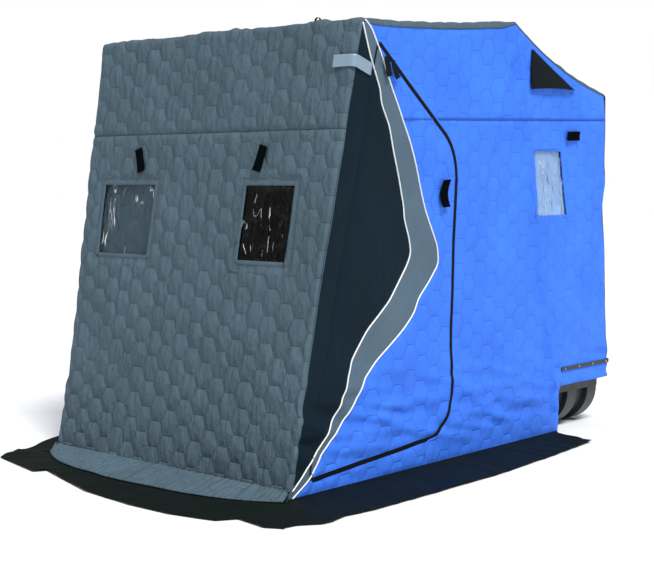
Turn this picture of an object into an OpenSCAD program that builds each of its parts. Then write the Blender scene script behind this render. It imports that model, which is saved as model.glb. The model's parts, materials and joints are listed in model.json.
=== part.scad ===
// Flip-over ice fishing hut: a quilted fabric shell on tube hoops that pivot on a moulded sled.
// Frame: X across the hut, Y from the front wall (-Y) to the sled (+Y), Z up, ground at Z = 0.

/* [Shell] */
// Half width of the shell at the ground
half_base = 772.5; // [600:0.5:1000]
// Half width of the shell at the top of the roof
half_top = 837; // [620:0.5:1100]
// Height of the highest hoop, at the roof's rear edge
top_z = 2057; // [1700:1:2400]
// How far the front wall leans back at its top edge
front_lean = 372; // [150:1:500]
// Height of the front wall's top edge
front_z = 1977; // [1600:1:2300]
// Distance from the front base line to the roof's rear edge
roof_rear_y = 1508; // [1300:1:1800]
// Distance from the front base line to the foot of the rear slope
slope_rear_y = 2381; // [2200:1:2600]
// Height of the foot of the rear slope
slope_rear_z = 1750; // [1400:1:1900]
// Distance from the front base line to the rear wall at the sled's rim
rear_y = 2522; // [2450:1:2900]
// Thickness of the quilted fabric
quilt = 8; // [4:0.5:12]
// Height of the horizontal seam on the front wall
front_seam_z = 1519; // [1350:1:1600]
// Height of the side seam where it meets the door
side_seam_z = 1565; // [1500:1:1640]
// Rise of the side seam for each millimetre towards the rear
side_seam_rise = 0.03; // [0:0.005:0.05]

/* [Doors] */
// Place (y, z) of the lower end of the door's fold line
hinge_low = [128, 71];
// Place (y, z) of the upper end of the door's fold line
hinge_high = [493, 1883];
// Centre (y, z) of the door's lower round corner
door_low_centre = [900, 330];
// Radius of the door's lower round corner
door_low_r = 200; // [100:1:220]
// Centre (y, z) of the door's upper round corner
door_high_centre = [846, 1336];
// Radius of the door's upper round corner
door_high_r = 220; // [120:1:240]
// Gap that the zip closes round the door
zip_gap = 6; // [5:0.5:12]
// Radius of the welt that the door folds about
welt_r = 4; // [2:0.5:5]

/* [Windows] */
// Distance from the middle of the hut to the right front window's inner edge
right_window_x = 285; // [150:1:400]
// Width of the right front window
right_window_w = 293; // [150:1:360]
// Distance from the middle of the hut to the left front window's inner edge
left_window_x = 306; // [150:1:400]
// Width of the left front window
left_window_w = 360; // [150:1:400]
// Height of a front window's lower edge
front_window_z = 958; // [500:1:1100]
// Height of a front window
front_window_h = 330; // [150:1:400]
// Corners of the side window, each as [distance behind the side's fold, height]
side_window = [[11, 1122], [284, 1123], [290, 1453], [55, 1456]];
// Thickness of the clear window film
film = 1.5; // [1:0.5:3]

/* [Sled] */
// Distance from the front base line to the middle of the sled
sled_mid_y = 2034; // [2000:1:2100]
// Height of the sled's rim
rim_z = 332; // [280:1:400]
// Height of the rim's moulded lip
rim_lip = 32; // [20:1:50]
// Thickness of the sled's plastic wall
sled_wall = 6; // [4:0.5:10]
// Number of runners under the sled
runners = 5; // [3:1:7]
// Width of one runner
runner_w = 90; // [60:1:110]
// How far the runners stand out from the hull
runner_h = 28; // [15:1:40]
// Radius of the runners where they turn up at the sled's ends
bow_r = 190; // [120:1:240]
// How far the fabric hangs below the rim
rim_drop = 85; // [60:1:110]

/* [Hoops] */
// Radius of the hoop tubes
tube_r = 11; // [8:0.5:14]
// Bend radius of the hoops' corners
bend_r = 70; // [40:1:120]
// Clearance between the tubes and the fabric
tube_gap = 5; // [5:0.5:12]
// Radius of the drum that the hoops turn on
drum_r = 58; // [40:1:80]
// Height of the drum's centre
drum_z = 400; // [390:1:460]
// Thickness of the pivot bracket's plate
plate = 3; // [2:0.5:6]
// Length of the pivot bracket's foot along the rim
foot_w = 120; // [80:1:160]

/* [Ground skirt] */
// Width of the skirt in front of the hut
skirt_front = 440; // [250:1:500]
// Width of the skirt beside the hut
skirt_side = 348; // [200:1:400]
// Thickness of the skirt
skirt_t = 4; // [2:0.5:6]
// How far the gathered hem spreads over the front skirt
hem_spread = 172; // [100:1:220]
// Height of the gathered hem where it is sewn to the front wall
hem_z = 42; // [30:1:80]

/* [Hidden] */
$fn = 48;
RIGHT = 1;
LEFT = -1;

QUILT_GREY = "#5F6769";
BLUE = "#3F7DF5";
BLACK = "#1C2A30";
STRIP_GREY = "#7C888E";
SLED_GREY = "#3E464B";
STEEL = "#B8BEC2";

seam = 0.3;             // sewn or laid parts stop this far short of each other
far = 4000;             // longer than the hut, for cuts
door_lip = welt_r + 0.3; // the door starts here, measured from its fold line
strip_lip = 8;          // the fixed strip ends here on the other side of the fold line
arc_step = 7.5;         // degrees between points of a drawn arc

// ---- plane geometry: a point is [y, z] unless it says otherwise ----
function unit(v) = v / norm(v);
function right_of(v) = [v.y, -v.x];
function meet(p, u, q, v) =
    let (w = q - p) p + u * ((w.x * v.y - w.y * v.x) / (u.x * v.y - u.y * v.x));
function inset(a, b, c, d) =
    let (u = unit(b - a), v = unit(c - b))
    meet(b + right_of(u) * d, u, b + right_of(v) * d, v);
function at_z(p, q, z) = [p.x + (q.x - p.x) * (z - p.y) / (q.y - p.y), z];
function arc(c, r, from, to) =
    let (n = ceil(abs(to - from) / arc_step))
    [for (i = [0:n]) let (a = from + (to - from) * i / n) c + r * [cos(a), sin(a)]];

// A belt round circles taken anticlockwise: straight tangents between them and arcs on them.
function tangent(c, r, i) =
    let (d = c[i + 1] - c[i]) atan2(d.y, d.x) + asin((r[i] - r[i + 1]) / norm(d));
function belt(c, r) =
    let (n = len(c) - 1)
    [for (i = [0:n])
        each (i == 0 ? [c[0] + r[0] * right_of([cos(tangent(c, r, 0)), sin(tangent(c, r, 0))])]
            : i == n ? [c[n] + r[n] * right_of([cos(tangent(c, r, n - 1)), sin(tangent(c, r, n - 1))])]
            : arc(c[i], r[i], tangent(c, r, i - 1) - 90, tangent(c, r, i) - 90))];

// ---- the shell's side outline ----
base = [0, 0];
front_top = [front_lean, front_z];
roof_rear = [roof_rear_y, top_z];
slope_rear = [slope_rear_y, slope_rear_z];
rear_rim = [rear_y, rim_z];
rear_end = at_z(slope_rear, rear_rim, rim_z - rim_drop);
OUT = [base, front_top, roof_rear, slope_rear, rear_end];
function inner(d) = [
    base + [d / cos(lean), 0],
    inset(OUT[0], OUT[1], OUT[2], d),
    inset(OUT[1], OUT[2], OUT[3], d),
    inset(OUT[2], OUT[3], OUT[4], d),
    OUT[4] + right_of(unit(OUT[4] - OUT[3])) * d,
];
lean = atan2(front_lean, front_z);
taper = atan2(half_top - half_base, top_z);
function half_at(z) = half_base + z * tan(taper);
IN = inner(quilt);
// The sides stop short of the front, roof and rear, with room for their lean.
SIDE = inner(quilt + seam + quilt * sin(taper));
HOOP = inner(quilt + tube_gap + tube_r);

y_middle = (rear_end.x - skirt_front) / 2;

// ---- the hoops ----
drum = [sled_mid_y, drum_z];
tube_depth = quilt + tube_gap + tube_r;
ground_tube_z = tube_r + skirt_t;

// ---- the sled ----
sled_rear_y = at_z(IN[3], IN[4], rim_z).x - seam;
sled_front_y = 2 * sled_mid_y - sled_rear_y;
lip_z = rim_z - rim_lip;
rim_half = half_at(lip_z) - (quilt + tube_gap + 2 * tube_r + plate) / cos(taper) - seam;
tub_half = rim_half - 11;
tub_inset = 30;
belt_z = 195;
ledge_y = drum.x + foot_w / 2 + tube_gap;

// ---- the side's seams ----
// The fold in the side fabric follows the roof hoop down to the ground.
ground_rear = [sled_mid_y, 0];
function crease(z) = at_z(roof_rear, ground_rear, z);
function side_seam(y) = [y, side_seam_z + side_seam_rise * (y - hinge_high.x)];
window_outline = [for (p = side_window) crease(p.y) + [p.x, 0]];
crease_seam = meet(side_seam(0), [1, side_seam_rise], roof_rear, ground_rear - roof_rear);
rear_seam = meet(side_seam(0), [1, side_seam_rise], SIDE[3], SIDE[4] - SIDE[3]);
hinge_dir = unit(hinge_high - hinge_low);
function beside_hinge(d, z) =
    at_z(hinge_low + right_of(hinge_dir) * d, hinge_high + right_of(hinge_dir) * d, z);
roof_at_hinge = meet(SIDE[1], SIDE[2] - SIDE[1], beside_hinge(-strip_lip, 0), hinge_dir);
sill_y = door_low_centre.x;
DOOR_C = [hinge_low, door_low_centre, door_high_centre, hinge_high];
function door_outline(grow) = belt(DOOR_C, [grow, door_low_r + grow, door_high_r + grow, grow]);

// Edge between the black and grey patches, from the front's top corner to its base.
BLACK_EDGE = [[372, 1977], [529, 1640], [640, 1390], [758, 1030], [762, 985], [745, 935],
    [480, 665], [385, 545], [350, 400], [226, 223], [11, 34]];
// Edge between the grey patch and the blue one.
BLUE_EDGE = [[384, 1977], [440, 1947], [600, 1695], [806, 1307], [955, 1010], [966, 960],
    [950, 900], [834, 765], [725, 647], [549, 531], [470, 458], [325, 265], [124, 75], [0, 0]];
function ahead_of(edge) = concat([[-far, far], edge[0] + [0, far]], edge, [[-far, -far]]);

// ---- placing ----
module placed() { translate([0, -y_middle, 0]) children(); }
module sided(s) { if (s == RIGHT) children(); else mirror([1, 0, 0]) children(); }
module both() { for (s = [LEFT, RIGHT]) sided(s) children(); }
// An outline in [y, z] pulled out along X, half to each side.
module across(points, width) {
    rotate([90, 0, 90]) linear_extrude(height = width, center = true) polygon(points);
}
// The leaning plane of the right side wall, with its outer face at x = 0.
module side_plane() { translate([half_base, 0, 0]) rotate([0, taper, 0]) children(); }
// A slab in that plane, from depth to depth + t, whose outline is given in [y, z].
module side_slab(points, depth = -quilt, t = quilt) {
    side_plane() translate([depth, 0, 0]) rotate([90, 0, 90]) linear_extrude(height = t)
        polygon([for (p = points) [p.x, p.y / cos(taper)]]);
}
// The leaning plane of the front wall, with its outer face at y = 0 and z along the slope.
module front_plane() { rotate([-lean, 0, 0]) children(); }
function up_slope(z) = z / cos(lean);
// Everything between the two leaning side planes.
module between_sides() {
    spare = 50;
    rotate([90, 0, 0]) linear_extrude(height = 2 * far, center = true)
        polygon([[-half_at(-spare), -spare], [half_at(-spare), -spare],
            [half_at(top_z + spare), top_z + spare], [-half_at(top_z + spare), top_z + spare]]);
}
module shell_strip(points) {
    intersection() {
        across(points, 3 * half_top);
        between_sides();
    }
}

// ---- the sled ----
// End view of a hull with turned-up ends, in [x, z].
function bow(half, low, r, high) = concat([[-half, high]],
    arc([-half + r, low + r], r, 180, 270), arc([half - r, low + r], r, 270, 360), [[half, high]]);
module hull_length(points, y0, y1) {
    translate([0, y1, 0]) rotate([90, 0, 0]) linear_extrude(height = y1 - y0) polygon(points);
}
module slab(x0, x1, y0, y1, z0, z1) {
    translate([x0, y0, z0]) cube([x1 - x0, y1 - y0, z1 - z0]);
}
module sled_tub() {
    front = sled_front_y + tub_inset;
    rear = sled_rear_y - tub_inset;
    pitch = (rear - front - runner_w) / (runners - 1);
    hull_half = tub_half - runner_h;
    ledge_half = half_at(lip_z) - quilt / cos(taper) - seam;
    color(SLED_GREY) placed() difference() {
        union() {
            hull_length(bow(hull_half, runner_h, bow_r - runner_h, rim_z), front, rear);
            for (i = [0:runners - 1])
                hull_length(bow(tub_half, 0, bow_r, belt_z + sled_wall),
                    front + i * pitch, front + i * pitch + runner_w);
            slab(-tub_half, tub_half, front - sled_wall, rear + sled_wall, belt_z, lip_z + sled_wall);
            slab(-rim_half, rim_half, sled_front_y, sled_rear_y, lip_z, rim_z);
            slab(-ledge_half, ledge_half, ledge_y, sled_rear_y, lip_z, rim_z);
        }
        hull_length(bow(hull_half - sled_wall, runner_h + sled_wall, bow_r - runner_h - sled_wall,
            rim_z + sled_wall), front + sled_wall, rear - sled_wall);
    }
}
module clamp_strips() {
    clamp_t = 6;
    clamp_h = 20;
    start = sled_mid_y + clamp_h / 2;
    past_corner = 4;
    low = rim_z - clamp_h / 2;
    high = rim_z + clamp_h / 2;
    end = at_z(OUT[3], OUT[4], rim_z).x;
    wall = unit(OUT[4] - OUT[3]);
    out = -right_of(wall);
    a = at_z(OUT[3], OUT[4], high);
    b = at_z(OUT[3], OUT[4], low);
    color(SLED_GREY) placed() {
        both() side_slab([[start, low], [end - quilt, low], [end - quilt, high], [start, high]],
            seam, clamp_t);
        across([a + out * seam, b + out * seam, b + out * (seam + clamp_t), a + out * (seam + clamp_t)],
            2 * half_at(rim_z) - past_corner);
    }
}
module pivot_brackets() {
    inner_x = -tube_depth - tube_r - plate;
    color(STEEL) placed() both() side_plane() {
        translate([inner_x, drum.x, drum.y]) rotate([0, 90, 0])
            cylinder(h = plate + 2 * tube_r, r = drum_r);
        translate([inner_x, drum.x - foot_w / 2, lip_z]) cube([plate, foot_w, drum.y - lip_z]);
    }
}

// ---- the hoops ----
// A hoop lies in the plane through X and the line from the drum towards its cross tube.
function hoop_angle(p) = atan2(p.y - drum.y, p.x - drum.x);
function hoop_reach(p) = norm(p - drum);
function leg_tilt(phi) = atan(tan(taper) * sin(phi));
function bend_len(a) = bend_r * tan((90 + a) / 2);
tube_x = half_at(drum_z) - tube_depth / cos(taper);

module in_hoop_plane(origin, phi) { translate([0, origin.x, origin.y]) rotate([phi, 0, 0]) children(); }
module tube(length) { rotate([-90, 0, 0]) cylinder(h = length, r = tube_r); }
module hoop_tubes(origin, phi, reach, x, start) {
    a = leg_tilt(phi);
    top_x = x + reach * tan(a);
    in_hoop_plane(origin, phi) {
        both() translate([x + start * tan(a), start, 0]) rotate([0, 0, -a])
            tube((reach - start) / cos(a) - bend_len(a));
        translate([bend_len(a) - top_x, reach, 0]) rotate([0, 0, -90]) tube(2 * (top_x - bend_len(a)));
    }
}
module hoop_bends(origin, phi, reach, x) {
    a = leg_tilt(phi);
    top_x = x + reach * tan(a);
    in_hoop_plane(origin, phi) both()
        translate([top_x - bend_len(a), reach - bend_r, 0])
            rotate([0, 0, -a]) rotate_extrude(angle = 90 + a) translate([bend_r, 0]) circle(tube_r);
}
module fan_hoop(p) {
    color(STEEL) placed() hoop_tubes(drum, hoop_angle(p), hoop_reach(p), tube_x, drum_r + 2 * seam);
}
ground_origin = [drum.x, ground_tube_z];
ground_reach = drum.x - at_z(HOOP[0], HOOP[1], ground_tube_z).x;
ground_x = half_at(ground_tube_z) - tube_depth / cos(taper);
module ground_hoop() {
    color(STEEL) placed() {
        hoop_tubes(ground_origin, 180, ground_reach, ground_x, bend_r);
        both() side_plane() translate([-tube_depth, drum.x, ground_tube_z + bend_r])
            cylinder(h = drum_z - drum_r - seam - ground_tube_z - bend_r, r = tube_r);
    }
}
module front_hoop() { fan_hoop(HOOP[1]); }
module roof_hoop() { fan_hoop(HOOP[2]); }
module rear_hoop() { fan_hoop(HOOP[3]); }
module hoop_corners() {
    color(BLACK) placed() {
        for (p = [HOOP[1], HOOP[2], HOOP[3]]) hoop_bends(drum, hoop_angle(p), hoop_reach(p), tube_x);
        hoop_bends(ground_origin, 180, ground_reach, ground_x);
        both() side_plane() translate([-tube_depth, drum.x - bend_r, ground_tube_z + bend_r])
            rotate([0, 90, 0]) rotate_extrude(angle = 90)
                translate([bend_r, 0]) circle(tube_r);
    }
}

// ---- the front, roof and rear ----
function front_seam_pair() = [at_z(OUT[0], OUT[1], front_seam_z),
    at_z(OUT[0], OUT[1], front_seam_z) + right_of(unit(OUT[1] - OUT[0])) * quilt];
// A front window's outline pulled in by a margin, from depth y0 to y1 behind the wall's face.
module front_window(s, margin, y0, y1) {
    x = s == RIGHT ? right_window_x : left_window_x;
    w = s == RIGHT ? right_window_w : left_window_w;
    sided(s) front_plane() slab(x + margin, x + w - margin, y0, y1,
        up_slope(front_window_z) + margin, up_slope(front_window_z + front_window_h) - margin);
}
module front_panel_upper() {
    cut = front_seam_pair();
    color(QUILT_GREY) placed() shell_strip([cut[0], OUT[1], IN[1], cut[1]]);
}
module front_panel_lower() {
    cut = front_seam_pair();
    color(QUILT_GREY) placed() difference() {
        shell_strip([OUT[0], cut[0], cut[1], IN[0]]);
        for (s = [LEFT, RIGHT]) front_window(s, 0, -quilt, 2 * quilt);
    }
}
module front_hem() {
    foot_z = 10;
    crown_z = 26;
    crown_y = -110;
    end_gap = 60;
    top = at_z(OUT[0], OUT[1], hem_z) - [seam, 0];
    foot = at_z(OUT[0], OUT[1], skirt_t) - [seam, 0];
    color(QUILT_GREY) placed()
        across([foot, top, [crown_y, crown_z], [-hem_spread, foot_z], [-hem_spread, skirt_t]],
            2 * (half_base - end_gap));
}
module roof_panel() { color(QUILT_GREY) placed() shell_strip([OUT[1], OUT[2], IN[2], IN[1]]); }
module rear_slope_panel() { color(QUILT_GREY) placed() shell_strip([OUT[2], OUT[3], IN[3], IN[2]]); }
module rear_wall_panel() { color(QUILT_GREY) placed() shell_strip([OUT[3], OUT[4], IN[4], IN[3]]); }

// ---- the sides ----
module corner_strip(s) {
    color(BLACK) placed() sided(s) side_slab([SIDE[0], SIDE[1], roof_at_hinge, beside_hinge(-strip_lip, 0)]);
}
module door_welts() {
    length = norm([hinge_high.x - hinge_low.x, (hinge_high.y - hinge_low.y) / cos(taper)]);
    angle = atan2(hinge_high.x - hinge_low.x, (hinge_high.y - hinge_low.y) / cos(taper));
    web = 2;
    color(BLACK) placed() both() union() {
        side_plane() translate([0, hinge_low.x, hinge_low.y / cos(taper)])
            rotate([-angle, 0, 0]) cylinder(h = length, r = welt_r);
        side_slab([beside_hinge(-strip_lip, hinge_low.y), beside_hinge(-strip_lip, hinge_high.y),
            hinge_high, hinge_low], -web - 1, web);
    }
}
module door_blank() {
    difference() {
        side_slab(door_outline(0));
        side_slab([beside_hinge(-far, -far), beside_hinge(-far, far),
            beside_hinge(door_lip, far), beside_hinge(door_lip, -far)], -2 * quilt, 3 * quilt);
    }
}
module ahead(edge) { side_slab(ahead_of(edge), -2 * quilt, 4 * quilt); }
module door_black(s) {
    color(BLACK) placed() sided(s) intersection() { door_blank(); ahead(BLACK_EDGE); }
}
module door_grey(s) {
    color(STRIP_GREY) placed() sided(s) difference() {
        intersection() { door_blank(); ahead(BLUE_EDGE); }
        ahead(BLACK_EDGE);
    }
}
module door_blue(s) {
    color(BLUE) placed() sided(s) difference() { door_blank(); ahead(BLUE_EDGE); }
}
// A thin tab lying on the side's outer face, centred on [y, z] and turned by an angle.
module side_tab(centre, w, h, turn, t) {
    side_plane() translate([0, centre.x, centre.y / cos(taper)]) rotate([turn, 0, 0])
        translate([0, -w / 2, -h / 2]) cube([t, w, h]);
}
tab_t = 2.5;
module door_tabs(s) {
    zip_tag = [32, 88];
    hook_tab = [58, 62];
    color(BLACK) placed() sided(s) {
        side_tab([544, 1786], zip_tag.x, zip_tag.y, 14, tab_t);
        side_tab([588, 1772], zip_tag.x, zip_tag.y, 30, tab_t);
        side_tab([978, 1246], hook_tab.x, 2 * hook_tab.y, 6, tab_t);
    }
}
module doorway() { side_slab(concat(door_outline(zip_gap), [beside_hinge(-strip_lip, hinge_high.y),
    beside_hinge(-strip_lip, hinge_low.y)]), -2 * quilt, 4 * quilt); }
module side_sill(s) {
    color(BLUE) placed() sided(s) difference() {
        side_slab([beside_hinge(-strip_lip, 0), beside_hinge(-strip_lip, door_low_centre.y),
            [sill_y, door_low_centre.y], [sill_y, 0]]);
        doorway();
    }
}
module side_panel(s) {
    color(BLUE) placed() sided(s) difference() {
        side_slab([[sill_y, 0], side_seam(sill_y), crease_seam, crease(rim_z), [sled_mid_y, rim_z],
            ground_rear]);
        doorway();
    }
}
module side_band(s) {
    color(BLUE) placed() sided(s) difference() {
        side_slab([beside_hinge(-strip_lip, hinge_high.y), roof_at_hinge, SIDE[2], crease_seam,
            side_seam(sill_y)]);
        doorway();
    }
}
module rear_panel(s) {
    color(BLUE) placed() sided(s) difference() {
        side_slab([crease(rim_z), crease_seam, rear_seam, at_z(SIDE[3], SIDE[4], rim_z)]);
        side_slab(window_outline, -2 * quilt, 4 * quilt);
    }
}
module rear_band(s) {
    color(BLUE) placed() sided(s) side_slab([crease_seam, SIDE[2], SIDE[3], rear_seam]);
}
module sled_end_flaps() {
    color(BLUE) placed() both() side_slab([[sled_mid_y, rim_z], at_z(SIDE[3], SIDE[4], rim_z),
        SIDE[4], [sled_mid_y, SIDE[4].y]]);
}

// ---- windows ----
blind_depth = film + 1;
function pulled_in(points, d) = let (c = (points[0] + points[1] + points[2] + points[3]) / 4)
    [for (p = points) p + unit(c - p) * d];
module window_films() {
    color("#C9D6DA", 0.4) placed() {
        for (s = [LEFT, RIGHT]) front_window(s, seam, 0, film);
        both() side_slab(pulled_in(window_outline, 2 * seam), -film, film);
    }
}
module window_blinds() {
    color(QUILT_GREY) placed() {
        front_window(LEFT, seam, blind_depth, quilt);
        both() side_slab(pulled_in(window_outline, 2 * seam), -quilt, quilt - blind_depth);
    }
}

// ---- trim ----
// A vent hood is a wedge, thin at its top corner and open-sided below in real fabric.
module vent_hoods() {
    hood = [[1661, 1747], [2071, 1758], [1639, 1940]];
    hood_out = 34;
    tilt = atan2(hood_out, hood[2].y - hood[0].y);
    color(BLACK) placed() both() intersection() {
        side_slab(hood, 0, hood_out);
        side_plane() translate([hood_out, hood[0].x - far / 2, hood[0].y / cos(taper)])
            rotate([0, -tilt, 0]) translate([-far, 0, -far / 2]) cube([far, far, far]);
    }
}
module hook_tabs() {
    tab = [46, 118];
    side_tab_size = [115, 47];
    color(BLACK) placed() {
        for (s = [[-421, 1398, -20], [366, 1398, 14]])
            front_plane() translate([s.x, -tab_t, up_slope(s.y)]) rotate([0, s.z, 0])
                translate([-tab.x / 2, 0, -tab.y / 2]) cube([tab.x, tab_t, tab.y]);
        both() side_tab([2062, 1528], side_tab_size.x, side_tab_size.y, 0, tab_t);
    }
}
// Reflective tape round the upper corner beside the right door.
module corner_reflectors() {
    low = 1768;
    high = 1822;
    reach = 105;
    drop = 25;
    tape_t = 2;
    a = at_z(OUT[0], OUT[1], low - drop);
    b = at_z(OUT[0], OUT[1], high - drop);
    along = [reach - quilt, 0];
    color(STRIP_GREY) placed() {
        intersection() {
            front_plane() translate([half_at(low) - reach, -tape_t, up_slope(low)])
                cube([2 * reach, tape_t, high - low]);
            between_sides();
        }
        side_slab([a, b, b + along, a + along], 0, tape_t);
    }
}
module roof_loop() {
    loop = [26, 10, 14];
    web = 3;
    y = front_top.x + 2 * loop.y;
    roof = roof_rear - front_top;
    z = front_top.y + (y + loop.y - front_top.x) * roof.y / roof.x + seam;
    color(BLACK) placed() translate([560, y, z]) difference() {
        cube(loop);
        translate([web, -web, web]) cube([loop.x - 2 * web, loop.y + 2 * web, loop.z - 2 * web]);
    }
}

// ---- the ground skirt ----
corner_tip = [half_base + 230, -310];
module front_skirt() {
    color(BLACK) placed() linear_extrude(height = skirt_t)
        polygon([[half_base, -seam], corner_tip, [half_base, -skirt_front], [-half_base, -skirt_front],
            [-corner_tip.x, corner_tip.y], [-half_base, -seam]]);
}
module side_skirt(s) {
    edge = half_at(skirt_t) + seam;
    outer = half_base + skirt_side;
    color(BLACK) placed() sided(s) linear_extrude(height = skirt_t)
        polygon([[edge, 0], corner_tip + [seam, 0], [half_base + 300, -290], [outer, -130], [outer, 1000],
            [half_base + 264, 1950], [edge, sled_mid_y - 14]]);
}

sled_tub();
clamp_strips();
pivot_brackets();
ground_hoop();
front_hoop();
roof_hoop();
rear_hoop();
hoop_corners();
front_panel_upper();
front_panel_lower();
front_hem();
roof_panel();
rear_slope_panel();
rear_wall_panel();
corner_strip(RIGHT);  // right_corner_strip
corner_strip(LEFT);  // left_corner_strip
door_welts();
door_black(RIGHT);  // right_door_black
door_grey(RIGHT);  // right_door_grey
door_blue(RIGHT);  // right_door_blue
door_tabs(RIGHT);  // right_door_tabs
door_black(LEFT);  // left_door_black
door_grey(LEFT);  // left_door_grey
door_blue(LEFT);  // left_door_blue
door_tabs(LEFT);  // left_door_tabs
side_sill(RIGHT);  // right_side_sill
side_sill(LEFT);  // left_side_sill
side_panel(RIGHT);  // right_side_panel
side_panel(LEFT);  // left_side_panel
side_band(RIGHT);  // right_side_band
side_band(LEFT);  // left_side_band
rear_panel(RIGHT);  // right_rear_panel
rear_panel(LEFT);  // left_rear_panel
rear_band(RIGHT);  // right_rear_band
rear_band(LEFT);  // left_rear_band
sled_end_flaps();
window_films();
window_blinds();
vent_hoods();
hook_tabs();
corner_reflectors();
roof_loop();
front_skirt();
side_skirt(RIGHT);  // right_skirt
side_skirt(LEFT);  // left_skirt
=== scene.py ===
"""Flip-over ice fishing hut: quilted fabric, films, zips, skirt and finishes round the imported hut."""

import json
import math

import bpy
import numpy as np
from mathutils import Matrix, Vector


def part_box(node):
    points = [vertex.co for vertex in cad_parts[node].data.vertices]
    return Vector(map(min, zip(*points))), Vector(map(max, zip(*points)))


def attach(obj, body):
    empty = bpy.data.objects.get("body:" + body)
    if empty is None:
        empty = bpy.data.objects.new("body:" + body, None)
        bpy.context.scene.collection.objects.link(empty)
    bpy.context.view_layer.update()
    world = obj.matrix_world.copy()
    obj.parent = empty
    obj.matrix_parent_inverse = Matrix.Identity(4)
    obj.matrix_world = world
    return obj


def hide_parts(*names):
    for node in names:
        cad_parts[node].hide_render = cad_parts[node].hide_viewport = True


bl_info = {
    "name": "Ice Fishing Hut",
    "version": (1, 0, 0),
    "blender": (4, 5, 0),
    "location": "View3D > Sidebar > Ice Hut",
    "description": "Builds the quilted shell, doors, windows and trim of a flip-over ice fishing hut",
    "category": "Add Mesh",
}

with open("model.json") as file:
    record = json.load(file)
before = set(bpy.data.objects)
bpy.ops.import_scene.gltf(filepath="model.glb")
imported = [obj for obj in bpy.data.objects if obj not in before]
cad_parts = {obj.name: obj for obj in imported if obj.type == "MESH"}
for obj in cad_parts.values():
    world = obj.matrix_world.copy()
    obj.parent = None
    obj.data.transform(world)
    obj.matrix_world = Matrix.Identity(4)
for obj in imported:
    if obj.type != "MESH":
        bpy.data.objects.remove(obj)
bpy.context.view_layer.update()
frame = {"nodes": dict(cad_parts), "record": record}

# ---------------------------------------------------------------- places taken from the frame (metres)
# Side outline of the shell in (y, z): front base, front top, roof's rear edge, rear slope's foot, rear hem.
BASE = np.array([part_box("front_panel_lower")[0].y, 0.0])
FRONT_TOP = np.array([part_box("roof_panel")[0].y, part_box("front_panel_upper")[1].z])
ROOF_REAR = np.array([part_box("roof_panel")[1].y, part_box("roof_panel")[1].z])
SLOPE_REAR = np.array([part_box("rear_slope_panel")[1].y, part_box("rear_wall_panel")[1].z])
REAR_HEM = np.array([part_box("rear_wall_panel")[1].y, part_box("rear_wall_panel")[0].z])
HALF_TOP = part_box("roof_panel")[1].x
HALF_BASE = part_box("right_skirt")[0].x
TAPER = (HALF_TOP - HALF_BASE) / ROOF_REAR[1]
RIM_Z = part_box("sled_tub")[1].z
SLED_MID_Y = (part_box("sled_tub")[0].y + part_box("sled_tub")[1].y) / 2
FRONT_SEAM_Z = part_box("front_panel_lower")[1].z
DRUM = np.array([SLED_MID_Y, 0.400])
HOOP_TOPS = np.array([FRONT_TOP + (0.024, -0.024), ROOF_REAR + (-0.008, -0.024), SLOPE_REAR + (-0.024, -0.026)])

JOINTS = {j["name"]: j for j in frame["record"]["behaviour"]["joints"]}
FOLD_AT = np.array(JOINTS["right_door_fold"]["pos_m"])
FOLD_AXIS = np.array(JOINTS["right_door_fold"]["axis"])

# The door's outline is a belt round two circles, from the fold line's low end to its high end.
FOLD_LOW = FOLD_AT[1:]
FOLD_HIGH_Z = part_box("door_welts")[1].z
FOLD_HIGH = FOLD_LOW + FOLD_AXIS[1:] / FOLD_AXIS[2] * (FOLD_HIGH_Z - FOLD_LOW[1])
DOOR_LOW_CENTRE, DOOR_LOW_R = BASE + (0.900, 0.330), 0.200
DOOR_HIGH_CENTRE, DOOR_HIGH_R = BASE + (0.846, 1.336), 0.220

# Edges of the door's patches, as (y from the front base, z).
BLACK_EDGE = np.array([(0.011, 0.034), (0.226, 0.223), (0.313, 0.346), (0.352, 0.42), (0.385, 0.545),
    (0.482, 0.667), (0.625, 0.782), (0.692, 0.868), (0.745, 0.935), (0.768, 0.985), (0.752, 1.053),
    (0.718, 1.137), (0.713, 1.191), (0.675, 1.307), (0.625, 1.433), (0.589, 1.541), (0.529, 1.631),
    (0.518, 1.690), (0.445, 1.822), (0.372, 1.977)])
BLUE_EDGE = np.array([(0.0, 0.0), (0.124, 0.075), (0.210, 0.171), (0.325, 0.265), (0.416, 0.364),
    (0.470, 0.458), (0.549, 0.531), (0.725, 0.647), (0.801, 0.712), (0.834, 0.782), (0.906, 0.849),
    (0.968, 0.928), (0.955, 1.005), (0.871, 1.160), (0.806, 1.307), (0.776, 1.377), (0.730, 1.480),
    (0.661, 1.603), (0.580, 1.724), (0.522, 1.821), (0.440, 1.947), (0.384, 1.977)])

FRONT_WINDOW_X = {1: (0.285, 0.578), -1: (0.306, 0.666)}  # inner and outer edge, by side
FRONT_WINDOW_Z = (0.958, 1.288)
SIDE_WINDOW = ((-0.008, 0.312, 1.122), (0.052, 0.314, 1.455))  # behind the fold: near, far, height

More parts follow.
